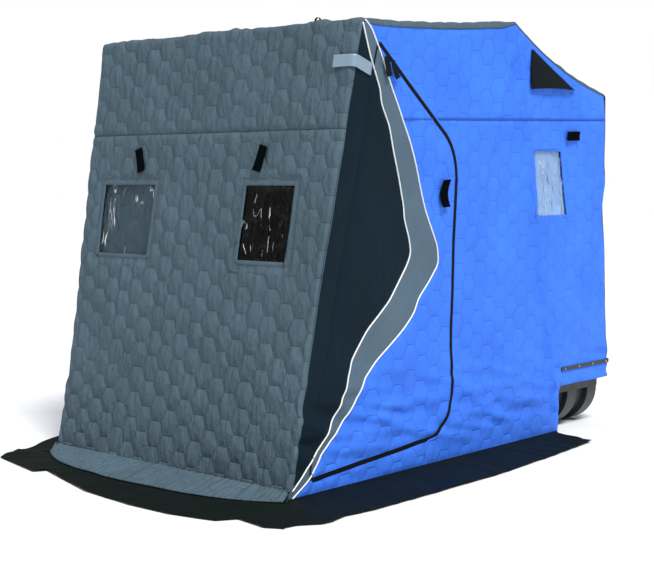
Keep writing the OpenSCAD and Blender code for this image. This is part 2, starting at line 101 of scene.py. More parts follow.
EDGE_R = 0.014       # roundness of the front wall's side edges
ROOF_EDGE_R = 0.028  # roundness of the roof's side edges
REAR_EDGE_R = 0.013  # roundness of the rear slope's and rear wall's side edges
CLOTH = 0.006        # thickness of the quilt between its stitches
FILM = 0.0008        # thickness of the window film
SEAM_DIP = 0.0015    # how far a panel is drawn down at its seams
BELT_GAP = 0.006     # from the door's outline to the wall panels round it
SAMPLES = 400        # points along the drawn edges of the door's patches
PATCH_ROUNDING = 0.07      # length over which those edges are averaged
DOOR_SPAN = (0.072, 1.9)   # heights between which the door's patches and piping lie
SIDE_SEAM = (1.565, 0.03)  # the side seam's height at the door's fold, and its rise per metre back
SIDE_SEAM_Z = 1.572        # the side seam's height at the door
FRONT_TAB_Z = 1.398        # height of the hook tabs over the front windows
REFLECTOR_Z = 1.798        # height of the corner reflector
VENT_CORNERS = ((1.661, 1.745), (2.071, 1.757), (1.645, 1.940))  # as (y from the front base, z)
ROOT3 = math.sqrt(3)
FRONT_BACK = FRONT_TOP[0] - BASE[0]  # how far the front wall leans back over its height
FRONT_SLANT = math.hypot(1, FRONT_BACK / FRONT_TOP[1])  # length of that wall to its height
RIGHT, LEFT = 1, -1
SIDES = {RIGHT: "right", LEFT: "left"}


# ---------------------------------------------------------------- settings a user may change
def linear(code):
    """Linear colour of an sRGB hex code."""
    srgb = np.array([int(code[i:i + 2], 16) / 255 for i in (1, 3, 5)])
    return tuple(np.where(srgb <= 0.04045, srgb / 12.92, ((srgb + 0.055) / 1.055) ** 2.4))


def colour(name, words, code):
    """A colour setting whose default is an sRGB hex code."""
    return bpy.props.FloatVectorProperty(name=name, description=words, default=linear(code),
        size=3, subtype="COLOR", min=0, max=1)


def length(name, words, default):
    """A length setting in metres."""
    return bpy.props.FloatProperty(name=name, description=words, default=default, min=0,
        unit="LENGTH", subtype="DISTANCE")


class HutSettings(bpy.types.PropertyGroup):
    """Sizes and colours of the hut's cloth"""
    cell_width: length("Cell pitch", "Distance between columns of quilted cells", 0.087)
    cell_height: length("Cell height", "Height of one quilted cell", 0.115)
    puff: length("Puff", "Height of a quilted cell above its stitches", 0.0056)
    front_step: length("Front step", "Spacing of the mesh on the front wall", 0.0085)
    side_step: length("Side step", "Spacing of the mesh on the side walls", 0.0092)
    rear_step: length("Rear step", "Spacing of the mesh on the roof and rear", 0.0125)
    hollow: length("Hollow", "How far the sides draw in between two hoops", 0.016)
    slope_sag: length("Slope sag", "How far the rear slope sags", 0.030)
    skirt_wave: length("Skirt wave", "Height of the waves in the ground skirt", 0.007)
    grey: colour("Grey quilt", "Front, roof and rear", "#4B5E6A")
    blue: colour("Blue quilt", "Sides", "#3E79EE")
    black: colour("Black quilt", "Triangular front part of the sides", "#081D28")
    pale_grey: colour("Pale grey quilt", "Strip between black and blue", "#526776")
    skirt: colour("Skirt cloth", "Ground skirt", "#0B1411")


# ---------------------------------------------------------------- mesh helpers
def stacked(*parts):
    """Arrays stretched to one shape and laid side by side along a new last axis."""
    return np.stack(np.broadcast_arrays(*parts), axis=-1)


def run_of(points):
    """Distance from a polyline's start to each of its points."""
    return np.concatenate([[0], np.cumsum(np.linalg.norm(np.diff(points, axis=0), axis=1))])


def new_object(name, verts, faces, materials, uv=None, kinds=None):
    """A mesh object from arrays of vertices and four-sided faces, facing outwards."""
    a, b, c, d = (verts[faces[:, i]] for i in range(4))
    volume = (np.einsum("ij,ij->i", a, np.cross(b, c)) + np.einsum("ij,ij->i", a, np.cross(c, d))).sum()
    if volume < 0:
        faces = faces[:, ::-1]
    used, flat = np.unique(faces, return_inverse=True)
    flat = flat.reshape(faces.shape)
    mesh = bpy.data.meshes.new(name)
    mesh.vertices.add(len(used))
    mesh.vertices.foreach_set("co", verts[used].astype(np.float32).ravel())
    mesh.loops.add(flat.size)
    mesh.loops.foreach_set("vertex_index", flat.astype(np.int32).ravel())
    mesh.polygons.add(len(flat))
    mesh.polygons.foreach_set("loop_start", np.arange(0, flat.size, 4, dtype=np.int32))
    if kinds is not None:
        mesh.polygons.foreach_set("material_index", kinds.astype(np.int32))
    mesh.polygons.foreach_set("use_smooth", np.ones(len(flat), bool))
    if uv is not None:
        layer = mesh.uv_layers.new(name="UVMap")
        layer.data.foreach_set("uv", uv.astype(np.float32)[used][flat.ravel()].ravel())
    mesh.update(calc_edges=True)
    mesh.validate()
    for material in materials:
        mesh.materials.append(material)
    made = bpy.data.objects.new(name, mesh)
    bpy.context.scene.collection.objects.link(made)
    return made


def quads(a, b, c, d):
    """Four index arrays as rows of four-sided faces."""
    return stacked(a.ravel(), b.ravel(), c.ravel(), d.ravel())


def shell(name, outer, inner, uv, materials, keep=None):
    """A sheet with thickness: an outer and an inner grid, joined by rims round every open edge."""
    rows, cols = outer.shape[:2]
    keep = np.ones((rows - 1, cols - 1), bool) if keep is None else keep
    index = np.arange(rows * cols).reshape(rows, cols)
    under = rows * cols
    i00, i01, i10, i11 = index[:-1, :-1], index[:-1, 1:], index[1:, :-1], index[1:, 1:]
    outside = quads(i00[keep], i01[keep], i11[keep], i10[keep])
    wide = np.pad(keep, 1)
    here = wide[1:-1, 1:-1]
    rims = []
    for shift, p, q in (((0, 1), i00, i01), ((2, 1), i11, i10), ((1, 0), i10, i00), ((1, 2), i01, i11)):
        beyond = wide[shift[0]:shift[0] + rows - 1, shift[1]:shift[1] + cols - 1]
        edge = here & ~beyond
        rims.append(quads(q[edge], p[edge], p[edge] + under, q[edge] + under))
    rims = np.concatenate(rims)
    faces = np.concatenate([outside, outside[:, ::-1] + under, rims])
    kinds = np.zeros(len(faces), int)
    if len(materials) > 1:
        kinds[len(outside):2 * len(outside)] = 1
    verts = np.concatenate([outer.reshape(-1, 3), inner.reshape(-1, 3)])
    uvs = np.concatenate([uv.reshape(-1, 2)] * 2)
    return new_object(name, verts, faces, materials, uvs, kinds)


def sweep(name, path, side, up, profile, material, closed=False):
    """A closed profile carried along a path; side and up are the profile's two directions at each point."""
    rings = path[:, None] + side[:, None] * profile[None, :, :1] + up[:, None] * profile[None, :, 1:]
    n, m = rings.shape[:2]
    index = np.arange(n * m).reshape(n, m)
    turned = np.roll(index, -1, axis=1)
    ahead = np.roll(index, -1, axis=0)
    ahead_turned = np.roll(turned, -1, axis=0)
    last = n if closed else n - 1
    faces = [quads(index[:last], turned[:last], ahead_turned[:last], ahead[:last])]
    verts = rings.reshape(-1, 3)
    if not closed:
        ends = rings[[0, -1]].mean(axis=1)
        verts = np.concatenate([verts, ends])
        for ring, hub, turn in ((index[0], n * m, 1), (index[-1], n * m + 1, -1)):
            pairs = ring.reshape(-1, 2)
            cap = quads(np.full(len(pairs), hub), pairs[:, 0], pairs[:, 1], np.roll(ring, -1)[1::2])
            faces.append(cap[:, ::-turn])
    uv = stacked(np.linspace(0, 1, m)[None] * 0.02, run_of(path)[:, None]).reshape(-1, 2)
    if not closed:
        uv = np.concatenate([uv, uv[:2]])
    return new_object(name, verts, np.concatenate(faces), [material], uv)


def ring_profile(radius, sides=8):
    """A circle as profile points."""
    angle = np.arange(sides) * 2 * math.pi / sides
    return stacked(np.cos(angle), np.sin(angle)) * radius


def flat_profile(width, height, low=0.0):
    """A flat strip with softened edges, standing on low."""
    w, h = width / 2, height
    return np.array([(-w, low), (-w, low + 0.6 * h), (-0.85 * w, low + h), (0, low + h),
        (0.85 * w, low + h), (w, low + 0.6 * h), (w, low), (0, low)])


def noise(x, y, size, seed):
    """Smooth value noise from -1 to 1: random lattice values blended by an S-curve between them."""
    table = np.random.default_rng(seed).uniform(-1, 1, (64, 64))
    x, y = np.broadcast_arrays(np.asarray(x) / size, np.asarray(y) / size)
    i, j = np.floor(x).astype(int), np.floor(y).astype(int)
    fx, fy = x - i, y - j
    fx, fy = fx * fx * (3 - 2 * fx), fy * fy * (3 - 2 * fy)
    at = lambda a, b: table[a % 64, b % 64]
    low = at(i, j) * (1 - fx) + at(i + 1, j) * fx
    high = at(i, j + 1) * (1 - fx) + at(i + 1, j + 1) * fx
    return low * (1 - fy) + high * fy


def step(x, a, b):
    """S-curve from 0 at a to 1 at b."""
    t = np.clip((x - a) / (b - a), 0, 1)
    return t * t * (3 - 2 * t)


def spread(a, b, size):
    """Evenly spaced values from a to b, no further apart than size."""
    return np.linspace(a, b, max(2, int(math.ceil(abs(b - a) / size)) + 1))


def joined(*parts):
    """Several runs of values end to end, with shared ends once."""
    return np.concatenate([parts[0], *(part[1:] for part in parts[1:])])


def smoothed(points, size):
    """A polyline (y, z) resampled evenly in z and averaged over a length, keeping its two ends."""
    z = np.linspace(points[0, 1], points[-1, 1], SAMPLES)
    y = np.interp(z, points[:, 1], points[:, 0])
    reach = max(1, int(size / abs(z[1] - z[0]) / 2))
    kernel = np.hanning(2 * reach + 3)[1:-1]
    kernel /= kernel.sum()
    padded = np.concatenate([2 * y[0] - y[reach:0:-1], y, 2 * y[-1] - y[-2:-reach - 2:-1]])
    return stacked(np.convolve(padded, kernel, "valid"), z)


# ---------------------------------------------------------------- the quilt
def hex_share(u, v, settings):
    """0 in the middle of a six-sided cell and 1 on its stitches; cells are flat-topped, in offset columns."""
    x = np.asarray(u) / (settings.cell_width / 1.5)
    z = np.asarray(v) / (settings.cell_height / ROOT3)
    best = None
    for dx, dz in ((0, 0), (1.5, ROOT3 / 2)):
        a = np.abs(x - dx - 3 * np.round((x - dx) / 3))
        b = np.abs(z - dz - ROOT3 * np.round((z - dz) / ROOT3))
        share = np.maximum(b, a * ROOT3 / 2 + b / 2) / (ROOT3 / 2)
        best = share if best is None else np.minimum(best, share)
    return best


def puffed(u, v, settings, seed=3):
    """Height of the quilt's face: each cell rises steeply from its stitches and is nearly flat on top,
    with slow creases and small puckers added."""
    share = np.clip(hex_share(u, v, settings), 0, 1)
    cell = 1 - share ** 2.4
    uneven = 1 + 0.60 * noise(u, v, 0.16, seed)
    slow = 0.0042 * noise(u, v, 0.34, seed + 1) + 0.0042 * noise(u, v * 0.6, 0.10, seed + 2)
    pucker = 0.0040 * noise(u, v * 0.34, 0.030, seed + 3)
    return settings.puff * cell * uneven + slow + pucker


# ---------------------------------------------------------------- the shell's form
def half_at(z):
    """Half width of the shell at a height, before the cloth draws in."""
    return HALF_BASE + TAPER * np.asarray(z)


def rounded_outline(points, radii):
    """A polyline with its inner corners replaced by arcs."""
    out = [points[:1]]
    for i in range(1, len(points) - 1):
        a = points[i - 1] - points[i]
        b = points[i + 1] - points[i]
        a, b = a / np.linalg.norm(a), b / np.linalg.norm(b)
        half = math.acos(np.clip(a @ b, -1, 1)) / 2
        mid = (a + b) / np.linalg.norm(a + b)
        centre = points[i] + mid * radii[i] / math.sin(half)
        start = points[i] + a * radii[i] / math.tan(half)
        end = points[i] + b * radii[i] / math.tan(half)
        t0 = math.atan2(*(start - centre)[::-1])
        t1 = math.atan2(*(end - centre)[::-1])
        turn = (t1 - t0 + math.pi) % (2 * math.pi) - math.pi
        t = t0 + turn * np.linspace(0, 1, 14)
        out.append(centre + radii[i] * stacked(np.cos(t), np.sin(t)))
    return np.concatenate([*out, points[-1:]])


OUTLINE = rounded_outline(np.array([BASE, FRONT_TOP, ROOF_REAR, SLOPE_REAR, REAR_HEM]),
    (0, 0.035, 0.040, 0.035, 0))
OUTLINE_RUN = run_of(OUTLINE)


def run_at(point):
    """Distance along the outline of the place nearest to a point."""
    fine = np.linspace(0, OUTLINE_RUN[-1], 6000)
    y, z = outline_at(fine)
    return fine[np.argmin((y - point[0]) ** 2 + (z - point[1]) ** 2)]


def outline_at(run):
    """The outline's (y, z) at distances along it."""
    return np.interp(run, OUTLINE_RUN, OUTLINE[:, 0]), np.interp(run, OUTLINE_RUN, OUTLINE[:, 1])


def outline_out(run):
    """The outline's outward direction (y, z)."""
    y0, z0 = outline_at(np.asarray(run) - 0.012)
    y1, z1 = outline_at(np.asarray(run) + 0.012)
    size = np.hypot(y1 - y0, z1 - z0)
    return -(z1 - z0) / size, (y1 - y0) / size


RUN_TOP, RUN_RIDGE, RUN_EAVE = run_at(FRONT_TOP), run_at(ROOF_REAR), run_at(SLOPE_REAR)
RUN_SEAM = run_at((BASE[0] + FRONT_SEAM_Z * FRONT_BACK / FRONT_TOP[1], FRONT_SEAM_Z))


def between(angle, low, high):
    """0 on both of two spokes and 1 midway between them."""
    q = np.clip((angle - low) / (high - low), 0, 1)
    return 4 * q * (1 - q)


def side_out(y, z, settings):
    """How far a side stands out from its flat plane: the cloth is tight on the hoops, which spread from
    the drum like spokes, and draws in between them."""
    dy, dz = y - DRUM[0], z - DRUM[1]
    angle = np.degrees(np.arctan2(dz, dy)) % 360
    angle = np.where(angle > 300, angle - 360, angle)
    spokes = np.degrees(np.arctan2(HOOP_TOPS[:, 1] - DRUM[1], HOOP_TOPS[:, 0] - DRUM[0]))
    far = np.clip(np.hypot(dy, dz) / 0.9, 0, 1)
    edges = ((-9, spokes[2], 1.1), (spokes[2], spokes[1], 0.9), (spokes[1], spokes[0], 0.8),
        (spokes[0], 194, 1.0))
    draw = sum(share * np.sqrt(between(angle, low, high)) ** 1.5 for low, high, share in edges)
    ground = step(z, 0.0, 0.25)
    behind = y - crease_y(z)
    ridge = 0.0150 * np.exp(-(behind / 0.024) ** 2) - 0.003 * np.exp(-((behind - 0.055) / 0.030) ** 2)
    slant = y - (BASE[0] + 2.26 + (z - 0.60) * 0.20)
    fold = 0.011 * np.exp(-(slant / 0.020) ** 2) - 0.008 * np.exp(-((slant - 0.050) / 0.032) ** 2)
    fold = fold * step(z, 0.50, 0.80) * (1 - step(z, 1.25, 1.42))
    creases = 0.004 * noise(y * 0.8, z * 0.5, 0.33, 21) + 0.0025 * noise(y + 0.5 * z, z * 0.7, 0.14, 22)
    foot = 0.0085 * noise(y * 0.6 + z, z * 1.6, 0.085, 23) * (1 - step(z, 0.20, 0.62))
    # Tension creases run down and forward from where the roof hoop's corner holds the cloth up.
    pull = y - crease_y(z) + 0.55 * (ROOF_REAR[1] - z)
    high = step(z, 0.95, 1.25) * (1 - step(z, 1.86, 1.97))
    drawn = 0.0075 * np.exp(-((pull - 0.02) / 0.030) ** 2) + 0.0055 * np.exp(-((pull - 0.16) / 0.035) ** 2)
    return (-settings.hollow * draw * far * (0.35 + 0.65 * ground) + 1.6 * (creases + foot) * ground
        + ridge * step(z, 0.02, 0.2) * (1 - step(z, 1.85, 2.0)) + fold + drawn * high)


def front_edge_y(z):
    """Where the side begins behind the front wall's rounded edge."""
    return BASE[0] + z * FRONT_BACK / FRONT_TOP[1] + EDGE_R * FRONT_SLANT


def strip_sag(run, settings):
    """How far the front, roof, rear slope and rear wall sag inwards along the outline."""
    def bow_in(a, b, depth):
        q = np.clip((run - a) / (b - a), 0, 1)
        return depth * 4 * q * (1 - q)
    return (bow_in(0, RUN_TOP, 0.006) + bow_in(RUN_TOP, RUN_RIDGE, 0.012)
        + bow_in(RUN_RIDGE, RUN_EAVE, settings.slope_sag) + bow_in(RUN_EAVE, OUTLINE_RUN[-1], 0.012))


def edge_radius(run):
    """Roundness of the shell's side edges: larger along the roof than on the walls and the rear slope."""
    return (EDGE_R + (ROOF_EDGE_R - EDGE_R) * step(run, RUN_TOP, RUN_TOP + 0.12)
        + (REAR_EDGE_R - ROOF_EDGE_R) * step(run, RUN_RIDGE - 0.12, RUN_RIDGE + 0.02))


def strip_columns(step_size, extra=()):
    """Columns across the shell: flat part as shares of the half width, then a quarter circle at each edge.
    Columns stand on each share in extra."""
    marks = sorted({-1.0, 0.0, 1.0, *extra})
    flat = joined(*[spread(a, b, step_size / 0.78) for a, b in zip(marks, marks[1:])])
    turn = np.radians(np.linspace(0, 90, 6))[1:]
    ones, none = np.ones(len(turn)), np.zeros(len(flat))
    share = np.concatenate([-ones, flat, ones])
    out = np.concatenate([-np.sin(turn[::-1]), none, np.sin(turn)])
    drop = np.concatenate([1 - np.cos(turn[::-1]), none, 1 - np.cos(turn)])
    return share, out, drop


def strip_points(run, columns, settings, height):
    """Points of the front, roof or rear at distances along the outline and columns across it."""
    share, out, drop = (c[None] for c in columns)
    run = np.asarray(run, float)[:, None]
    y, z = outline_at(run)
    ny, nz = outline_out(run)
    radius = edge_radius(run)
    side_y = np.maximum(y - ny * radius, BASE[0])
    half = half_at(z) + side_out(side_y, z - nz * radius, settings)
    x = (half - radius) * share + radius * out
    rise = -strip_sag(run, settings) - radius * drop
    rise = rise + height(x, np.broadcast_to(run, x.shape), 1 - np.clip(drop * 3, 0, 1))
    points = stacked(x, y + ny * rise, z + nz * rise)
    inward = stacked(-np.sign(x) * out ** 2, -ny * (1 - out ** 2), -nz * (1 - out ** 2))
    return points, inward, stacked(x, run)


def roof_edge(settings):
    """The (y, z) line along which the roof meets the side."""
    run = np.linspace(RUN_TOP - 0.1, OUTLINE_RUN[-1], 700)
    y, z = outline_at(run)
    ny, nz = outline_out(run)
    rise = -strip_sag(run, settings) - edge_radius(run)
    return stacked(y + ny * rise, z + nz * rise)


def crease_y(z):
    """Place of the fold over the roof hoop, at a height."""
    return ROOF_REAR[0] + (ROOF_REAR[1] - z) / ROOF_REAR[1] * (SLED_MID_Y - ROOF_REAR[0])


def side_seam_z(y):
    """Height of the side's horizontal seam."""
    return SIDE_SEAM[0] + SIDE_SEAM[1] * (y - FOLD_HIGH[0])


def fold_y(z):
    """The door's fold line, as y at a height."""
    return FOLD_LOW[0] + (z - FOLD_LOW[1]) * (FOLD_HIGH[0] - FOLD_LOW[0]) / (FOLD_HIGH[1] - FOLD_LOW[1])


def door_belt(grow):
    """The door's outline from the fold line's low end round to its high end: tangents and arcs."""
    centres = [FOLD_LOW, DOOR_LOW_CENTRE, DOOR_HIGH_CENTRE, FOLD_HIGH]
    radii = [grow, DOOR_LOW_R + grow, DOOR_HIGH_R + grow, grow]
    turns = []
    for i in range(3):
        d = centres[i + 1] - centres[i]
        turns.append(math.atan2(d[1], d[0]) + math.asin((radii[i] - radii[i + 1]) / np.hypot(*d)))
    around = lambda c, r, t: c + r * stacked(np.sin(t), -np.cos(t))
    return np.concatenate([
        around(centres[0], radii[0], np.array([turns[0]])),
        around(centres[1], radii[1], np.linspace(turns[0], turns[1], 30)),
        around(centres[2], radii[2], np.linspace(turns[1], turns[2], 30)),
        around(centres[3], radii[3], np.array([turns[2]]))])


def at_height(line, z):
    """A rising line's y at a height."""
    return np.interp(z, line[:, 1], line[:, 0])


def belt_y(z, grow):
    """The door outline's rear edge, as y at a height."""
    return at_height(door_belt(grow), z)


def even_path(points, size):
    """A polyline resampled at even distances."""
    run = run_of(points)
    fine = spread(0, run[-1], size)
    return np.stack([np.interp(fine, run, points[:, i]) for i in range(points.shape[1])], axis=1)


def zip_line(grow):
    """The zip's line at a distance outside the door, ending just short of the fold line."""
    return even_path(door_belt(grow), 0.003)[4:-4]


BLACK_LINE = smoothed(BLACK_EDGE, PATCH_ROUNDING) + (BASE[0], 0)
BLUE_LINE = smoothed(BLUE_EDGE, PATCH_ROUNDING) + (BASE[0], 0)
black_y = lambda z: at_height(BLACK_LINE, z)
blue_y = lambda z: at_height(BLUE_LINE, z)


# ---------------------------------------------------------------- finishes
def add(tree, kind, inputs=(), **choices):
    """One shader node with its choices. Each input takes a plain value or another node's output. Gives the
    node's first output."""
    node = tree.nodes.new("ShaderNode" + kind)
    for key, value in choices.items():
        setattr(node, key, value)
    for key, value in dict(inputs).items():
        if isinstance(value, bpy.types.NodeSocket):
            tree.links.new(value, node.inputs[key])
        else:
            node.inputs[key].default_value = value
    return node.outputs[0] if len(node.outputs) else None


def blank_finish(name):
    """An empty material, its tree, and three short forms of add on it: arithmetic, a range carried to another
    range, and noise."""
    finish = bpy.data.materials.new(name)
    finish.use_nodes = True
    tree = finish.node_tree
    tree.nodes.clear()
    work = lambda operation, *values, kind="Math": add(tree, kind, dict(enumerate(values)), operation=operation)
    carry = lambda value, low, high, to_low, to_high, **choices: add(tree, "MapRange", {"Value": value,
        "From Min": low, "From Max": high, "To Min": to_low, "To Max": to_high}, **choices)
    noisy = lambda place, scale, detail, **more: add(tree, "TexNoise", {"Vector": place, "Scale": scale,
        "Detail": detail, **more})
    return finish, tree, work, carry, noisy


def finished(finish, surface, height):
    """Ends a finish: one Principled shader with values or fields on its own sockets, and a height in metres
    as its bump."""
    tree = finish.node_tree
    normal = add(tree, "Bump", {"Height": height, "Strength": 1.0, "Distance": 1.0})
    add(tree, "OutputMaterial", {"Surface": add(tree, "BsdfPrincipled", {**surface, "Normal": normal})})
    return finish


def quilted(name, hue, settings, stitched=True, gloss=0.16, relief=1.0):
    """Polyester oxford cloth, stitched through wadding in six-sided cells. The eye gets a matt weave, painted
    shade along the thread lines where the needle pulls the cloth down, short puckers beside them and a fine woven
    grain."""
    finish, tree, work, carry, noisy = blank_finish(name)
    flat = add(tree, "UVMap", uv_map="UVMap")
    cells = add(tree, "Mapping", {"Vector": flat, "Scale": (1.5 / settings.cell_width,
        ROOT3 / settings.cell_height, 1)})
    lattices = []
    for shift in ((0, 0, 0), (1.5, ROOT3 / 2, 0)):
        moved = work("SUBTRACT", cells, shift, kind="VectorMath")
        wrapped = work("WRAP", moved, (1.5, ROOT3 / 2, 1), (-1.5, -ROOT3 / 2, -1), kind="VectorMath")
        parts = add(tree, "SeparateXYZ", {0: work("ABSOLUTE", wrapped, kind="VectorMath")}).node.outputs
        slant = work("MULTIPLY_ADD", parts[0], ROOT3, parts[1])
        lattices.append(work("MAXIMUM", work("MULTIPLY", slant, 0.5), parts[1]))
    share = work("MINIMUM", *lattices)
    # The thread line is about 5 mm wide: real thread is 0.5 mm, drawn as coarse as it needs to show.
    stitch = carry(share, ROOT3 / 2 * 0.93, ROOT3 / 2 * 0.99, 0.0, 1.0, interpolation_type="SMOOTHSTEP")
    tall = add(tree, "Mapping", {"Vector": flat, "Scale": (36, 12, 1)})
    pucker = noisy(tall, 1.0, 3.0, Roughness=0.55)
    # Woven grain of 0.6 mm threads, drawn 3 mm wide so that it shows.
    weave = noisy(flat, 330.0, 1.0)
    level = work("MULTIPLY", carry(noisy(flat, 3.2, 3.0), 0.3, 0.7, 0.90, 1.10),
        carry(weave, 0.2, 0.8, 0.93, 1.07))
    height = work("MULTIPLY_ADD", weave, 0.00025, work("MULTIPLY", pucker, 0.017 * relief))
    if stitched:
        # Painted shade: the cloth darkens to 91 % along the sunk thread lines.
        level = work("MULTIPLY", level, carry(stitch, 0.0, 1.0, 1.0, 0.91))
        height = work("MULTIPLY_ADD", stitch, -0.0014, height)
        height = work("MULTIPLY_ADD", work("POWER", share, 2.2), -0.0050 * relief, height)
    tint = add(tree, "VectorMath", {0: tuple(hue), "Scale": level}, operation="SCALE")
    return finished(finish, {"Base Color": tint, "Roughness": 0.60, "Specular IOR Level": gloss}, height)


def grained(name, hue, size, depth, roughness, gloss, tone=0.10, stretch=(1, 1, 1), uv=False, metal=0.0):
    """A finish with one hue, an uneven tone and a bumpy grain of a real size in metres."""
    finish, tree, work, carry, noisy = blank_finish(name)
    place = add(tree, "UVMap", uv_map="UVMap") if uv else add(tree, "TexCoord").node.outputs["Object"]
    place = add(tree, "Mapping", {"Vector": place, "Scale": stretch})
    grain, slow = noisy(place, 1 / size, 2.0), noisy(place, 5.0, 4.0)
    level = work("MULTIPLY", carry(slow, 0.3, 0.7, 1 - tone, 1 + tone),
        carry(grain, 0.25, 0.75, 1 - tone / 2, 1 + tone / 2))
    tint = add(tree, "VectorMath", {0: tuple(hue), "Scale": level}, operation="SCALE")
    rough = carry(slow, 0.3, 0.7, max(0.02, roughness - 0.06), roughness + 0.08)
    return finished(finish, {"Base Color": tint, "Roughness": rough, "Specular IOR Level": gloss,
        "Metallic": metal}, work("MULTIPLY", grain, depth))


def clear_film(name):
    """Clear PVC film: nearly colourless and glossy. The eye gets soft waves and a few white lines along its
    folds, which are painted highlights."""
    finish, tree, work, carry, noisy = blank_finish(name)
    flat = add(tree, "UVMap", uv_map="UVMap")
    field = noisy(add(tree, "Mapping", {"Vector": flat, "Scale": (17, 4.5, 1)}), 1.0, 2.0, Distortion=0.6)
    # A painted highlight stands as a white, less clear line where the field crosses its middle, and only in some
    # places.
    off = work("ABSOLUTE", work("SUBTRACT", field, 0.5))
    painted_highlight = work("MULTIPLY", carry(off, 0.004, 0.018, 1.0, 0.0),
        carry(noisy(flat, 9.0, 1.0), 0.53, 0.66, 0.0, 1.0))
    return finished(finish, {"Base Color": (0.92, 0.96, 0.98, 1), "IOR": 1.22,
        "Transmission Weight": carry(painted_highlight, 0.0, 1.0, 1.0, 0.35),
        "Roughness": carry(painted_highlight, 0.0, 1.0, 0.05, 0.5)}, work("MULTIPLY", field, 0.006))


# Quilted cloths: the setting that gives the hue, and how the cloth differs.
QUILTED = {
    # Front, roof and rear: grey cells with a clear relief and thread lines darkened by painted shade.
    "grey_quilted_oxford": ("grey", {}),
    # Sides: bright blue, pulled tight, so its cells show only faintly.
    "blue_quilted_oxford": ("blue", {"relief": 0.28}),
    # Door's front part: near black and smooth, with hardly any relief.
    "black_quilted_oxford": ("black", {"stitched": False, "gloss": 0.10, "relief": 0.25}),
    # Window bindings: the same grey cloth without its cells.
    "grey_binding_oxford": ("grey", {"stitched": False}),
    # Strip between black and blue: lighter grey, softly puckered.
    "pale_grey_oxford": ("pale_grey", {"stitched": False, "relief": 0.5}),
}
# Grained finishes: hue, size and depth of the grain in metres, roughness, specular level, and what differs.
GRAINED = {
    # Polyester lining inside the shell: matt charcoal with a faint crease tone.
    "charcoal_lining": ("#3A3F42", 0.004, 0.0003, 0.75, 0.12, {"uv": True}),
    # Reinforced polyethylene tarpaulin of the ground skirt: near black, a low greasy gloss on its waves.
    "black_tarpaulin": (lambda s: s.skirt, 0.006, 0.0005, 0.66, 0.10, {"tone": 0.22, "uv": True}),
    # Nylon oxford in black, for hoods and tags: matt with a woven grain.
    "black_oxford": ("#0D1519", 0.004, 0.0004, 0.75, 0.12, {"uv": True}),
    # Bonded blue thread in a seam: darker than the cloth it draws down, the darkness painted shade of the sunk
    # seam.
    "blue_thread": (lambda s: [0.60 * c for c in s.blue], 0.004, 0.0003, 0.75, 0.12, {"uv": True}),
    # Hook tape: short nylon hooks, drawn as a coarse stubble.
    "black_hook_tape": ("#03070A", 0.003, 0.0006, 0.9, 0.03, {"uv": True}),
    # Woven nylon zip tape and coil: black, with ridges across.
    "zip_nylon": ("#0A0D0F", 0.004, 0.0006, 0.6, 0.15, {"uv": True}),
    # White reflective piping: vinyl drawn over a cord, bright with a slight gloss.
    "white_piping": ("#EEF1F2", 0.004, 0.0002, 0.42, 0.5, {"tone": 0.04}),
    # Glass-bead reflective tape: pale grey and softly metallic.
    "glass_bead_tape": ("#8CA2B5", 0.003, 0.0002, 0.38, 0.5, {"tone": 0.06, "uv": True, "metal": 0.25}),
    # Rotomoulded polyethylene sled: charcoal, orange-peel surface and a dull gloss.
    "moulded_polyethylene": ("#22292D", 0.007, 0.0005, 0.46, 0.5, {"tone": 0.12}),
    # Extruded clamp strip: the same plastic, drawn lengthways.
    "extruded_strip": ("#1B242B", 0.004, 0.0002, 0.4, 0.5, {"tone": 0.08, "stretch": (1, 0.1, 1)}),
    # Zinc-plated steel tube: cool grey metal with a fine drawn grain.
    "zinc_plated_tube": ("#B7BBBE", 0.003, 0.0001, 0.32, 0.5, {"tone": 0.06, "metal": 1.0}),
    # Folded steel plate with black powder coat: fine orange peel.
    "powder_coated_steel": ("#1D2022", 0.004, 0.0003, 0.45, 0.5, {"tone": 0.05}),
    # Glass-filled nylon corner sleeves: black and slightly mottled.
    "moulded_nylon": ("#181B1D", 0.005, 0.0003, 0.5, 0.5, {"tone": 0.08}),
    # Blue flap of the side window, seen through the film: smooth, and pale with a painted sheen of the film over
    # it.
    "blue_lining_flap": ("#A6CBFF", 0.02, 0.0010, 0.35, 0.5, {"uv": True}),
    # Studio floor: white paper, almost even.
    "pale_studio_paper": ("#F4F5F6", 0.02, 0.0001, 0.6, 0.5, {"tone": 0.01}),
}


def make_finish(name, s):
    """Each finish of the hut by its name, made when it is first asked for."""
    made = bpy.data.materials.get(name)
    if made is None and name in QUILTED:
        hue, looks = QUILTED[name]
        made = quilted(name, getattr(s, hue), s, **looks)
    elif made is None and name in GRAINED:
        hue, *values, looks = GRAINED[name]
        made = grained(name, hue(s) if callable(hue) else linear(hue), *values, **looks)
    return made or clear_film(name)


# ---------------------------------------------------------------- pieces on the frame
def fit(piece, body, nodes=()):
    """Rides a piece on a body and hides the frame solids it stands for."""
    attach(piece, body)
    if nodes:
        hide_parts(*nodes)
    return piece


def declare(grid, flat=None):
    """Works out the flat size of a piece's cut from its plan in metres, the smallest rectangle round it unless
    one is given; the size is not kept or used.
    """
    a, b, c, d = grid[:-1, :-1], grid[:-1, 1:], grid[1:, 1:], grid[1:, :-1]
    p, q = c - a, d - b
    if flat is None:  # the smallest rectangle round the plan, at any turn
        p, q = grid[..., 0].ravel(), grid[..., 1].ravel()
        sizes = [(np.ptp(p * math.cos(t) + q * math.sin(t)), np.ptp(q * math.cos(t) - p * math.sin(t)))
            for t in np.radians(np.arange(0, 90, 3))]
        flat = tuple(float(v) for v in min(sizes, key=math.prod))


def sheet(name, outer, inner, plan, looks, nodes, s, keep=None, body="shell", flat=None):
    """A piece of cloth or film between two grids of points, on its body."""
    piece = fit(shell(name, outer, inner, plan, [make_finish(n, s) for n in looks], keep), body, nodes)
    declare(plan, flat)


